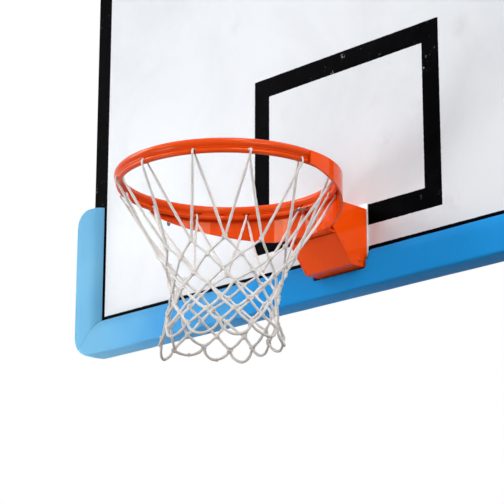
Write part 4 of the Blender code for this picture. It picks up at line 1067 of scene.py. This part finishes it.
# ---- studio ----

FLOOR_HALF_SIZE = 30.0
FLOOR_BOUNCE = 0.12
FLOOR_TONE = 0.86
FLOOR_GLOW = (0.94, 0.945, 0.95, 1.0)
GLOW_SHARE = 0.80
WORLD_TINT = (0.96, 0.98, 1.0, 1.0)
WORLD_LEVEL = 0.36
# Square soft lamps: name, place, target, size in metres, radiance
LAMPS = (
    ("left_window", (-3.2, -2.5, 0.9), (-0.3, -0.1, -0.4), 1.4, 5.6),
    ("front_softbox", (-1.06, -3.94, 0.70), (0.0, -0.3, -0.4), 0.8, 12.6),
    ("ceiling_left", (-2.30, -2.00, 1.80), (0.0, -0.45, -0.4), 0.80, 15.0),
    ("ceiling_right", (2.00, -1.60, 2.25), (0.0, -0.45, -0.4), 0.80, 20.5),
    ("right_fill", (3.6, -1.3, 0.2), (0.0, -0.2, -0.4), 2.0, 5.7),
    ("low_fill", (-1.0, -2.6, -2.2), (0.0, -0.2, -0.4), 1.2, 7.2),
    ("left_low", (-2.5, -0.7, -1.9), (-0.95, -0.1, -0.6), 0.7, 1.9),
    ("back_left", (-2.2, 3.0, 2.4), (0.0, 0.0, -0.1), 1.6, 11.0),
    ("back_right", (2.6, 3.0, 1.2), (0.0, 0.0, -0.1), 1.6, 11.0),
)
LOW_LAMP_SPREAD = 36.0


def seen_directly(tree):
    """1 for camera, glossy and transmission rays, 0 for the rays that light the object."""
    rays = add_node(tree, "LightPath")
    total = rays.outputs["Is Camera Ray"]
    for kind in ("Is Glossy Ray", "Is Transmission Ray"):
        either = add_node(tree, "Math", total, rays.outputs[kind])
        either.operation = "MAXIMUM"
        total = either.outputs[0]
    return total


def build_stage():
    """Pale floor that keeps the shadow, and throws little light back on the object."""
    size = FLOOR_HALF_SIZE
    mesh = bpy.data.meshes.new("studio_floor")
    sides = ((-size, -size), (size, -size), (size, size), (-size, size))
    mesh.from_pydata([(x, y, GROUND_Z) for x, y in sides], [], [(0, 1, 2, 3)])
    material = bpy.data.materials.new("pale_floor")
    material.use_nodes = True
    tree = material.node_tree
    seen = seen_directly(tree)
    shade = add_node(tree, "MapRange", Value=seen, To_Min=FLOOR_BOUNCE, To_Max=FLOOR_TONE)
    surface = tree.nodes["Principled BSDF"]
    feed(tree, surface.inputs["Base Color"], shade.outputs["Result"])
    surface.inputs["Roughness"].default_value = 0.9
    pale = add_node(tree, "Emission", Color=FLOOR_GLOW)
    share = add_node(tree, "Math", seen, GLOW_SHARE)
    share.operation = "MULTIPLY"
    mix = add_node(tree, "MixShader", share.outputs[0], surface.outputs[0], pale.outputs[0])
    feed(tree, tree.nodes["Material Output"].inputs["Surface"], mix.outputs[0])
    mesh.materials.append(material)
    floor = bpy.data.objects.new("studio_floor", mesh)
    bpy.context.scene.collection.objects.link(floor)


def build_world():
    """Soft light from all round, and a white backdrop."""
    world = bpy.data.worlds.new("studio")
    world.use_nodes = True
    bpy.context.scene.world = world
    tree = world.node_tree
    tree.nodes.clear()
    lighting = add_node(tree, "Background", Color=WORLD_TINT, Strength=WORLD_LEVEL)
    backdrop = add_node(tree, "Background", Color=(1.0, 1.0, 1.0, 1.0), Strength=1.0)
    shaders = (lighting.outputs[0], backdrop.outputs[0])
    mix = add_node(tree, "MixShader", seen_directly(tree), *shaders)
    add_node(tree, "OutputWorld", Surface=mix.outputs[0])


def add_light(name, place, target, size, radiance):
    """A square area light of this radiance, so that its power follows from its size."""
    data = bpy.data.lights.new(name, "AREA")
    data.shape = "SQUARE"
    data.size = size
    data.energy = radiance * math.pi * size * size
    light = bpy.data.objects.new(name, data)
    light.location = place
    direction = Vector(target) - Vector(place)
    light.rotation_euler = direction.to_track_quat("-Z", "Y").to_euler()
    bpy.context.scene.collection.objects.link(light)
    return light


def build_lamps():
    """All lamps. The low left one is a narrow beam that shows in no reflection."""
    lamps = {values[0]: add_light(*values) for values in LAMPS}
    low = lamps["left_low"]
    low.data.spread = math.radians(LOW_LAMP_SPREAD)
    low.visible_glossy = False


def build_camera():
    """The photo's camera, solved on the board's lines."""
    data = bpy.data.cameras.new("photo_camera")
    data.lens = 138.96
    data.sensor_width = 36.0
    camera = bpy.data.objects.new("photo_camera", data)
    place = Vector((2.91498, FACE_Y - 3.19698, FOOT_Z - 1.21269))
    heading, tilt, roll = 0.788865, 0.284435, 0.002004
    turn = Matrix.Rotation(heading, 4, "Z") @ Matrix.Rotation(math.pi / 2 + tilt, 4, "X")
    camera.matrix_world = Matrix.Translation(place) @ turn @ Matrix.Rotation(roll, 4, "Z")
    bpy.context.scene.collection.objects.link(camera)
    bpy.context.scene.camera = camera


build_camera()
build_stage()
build_world()
build_lamps()
build_all()

bpy.context.scene.view_settings.view_transform = "Standard"
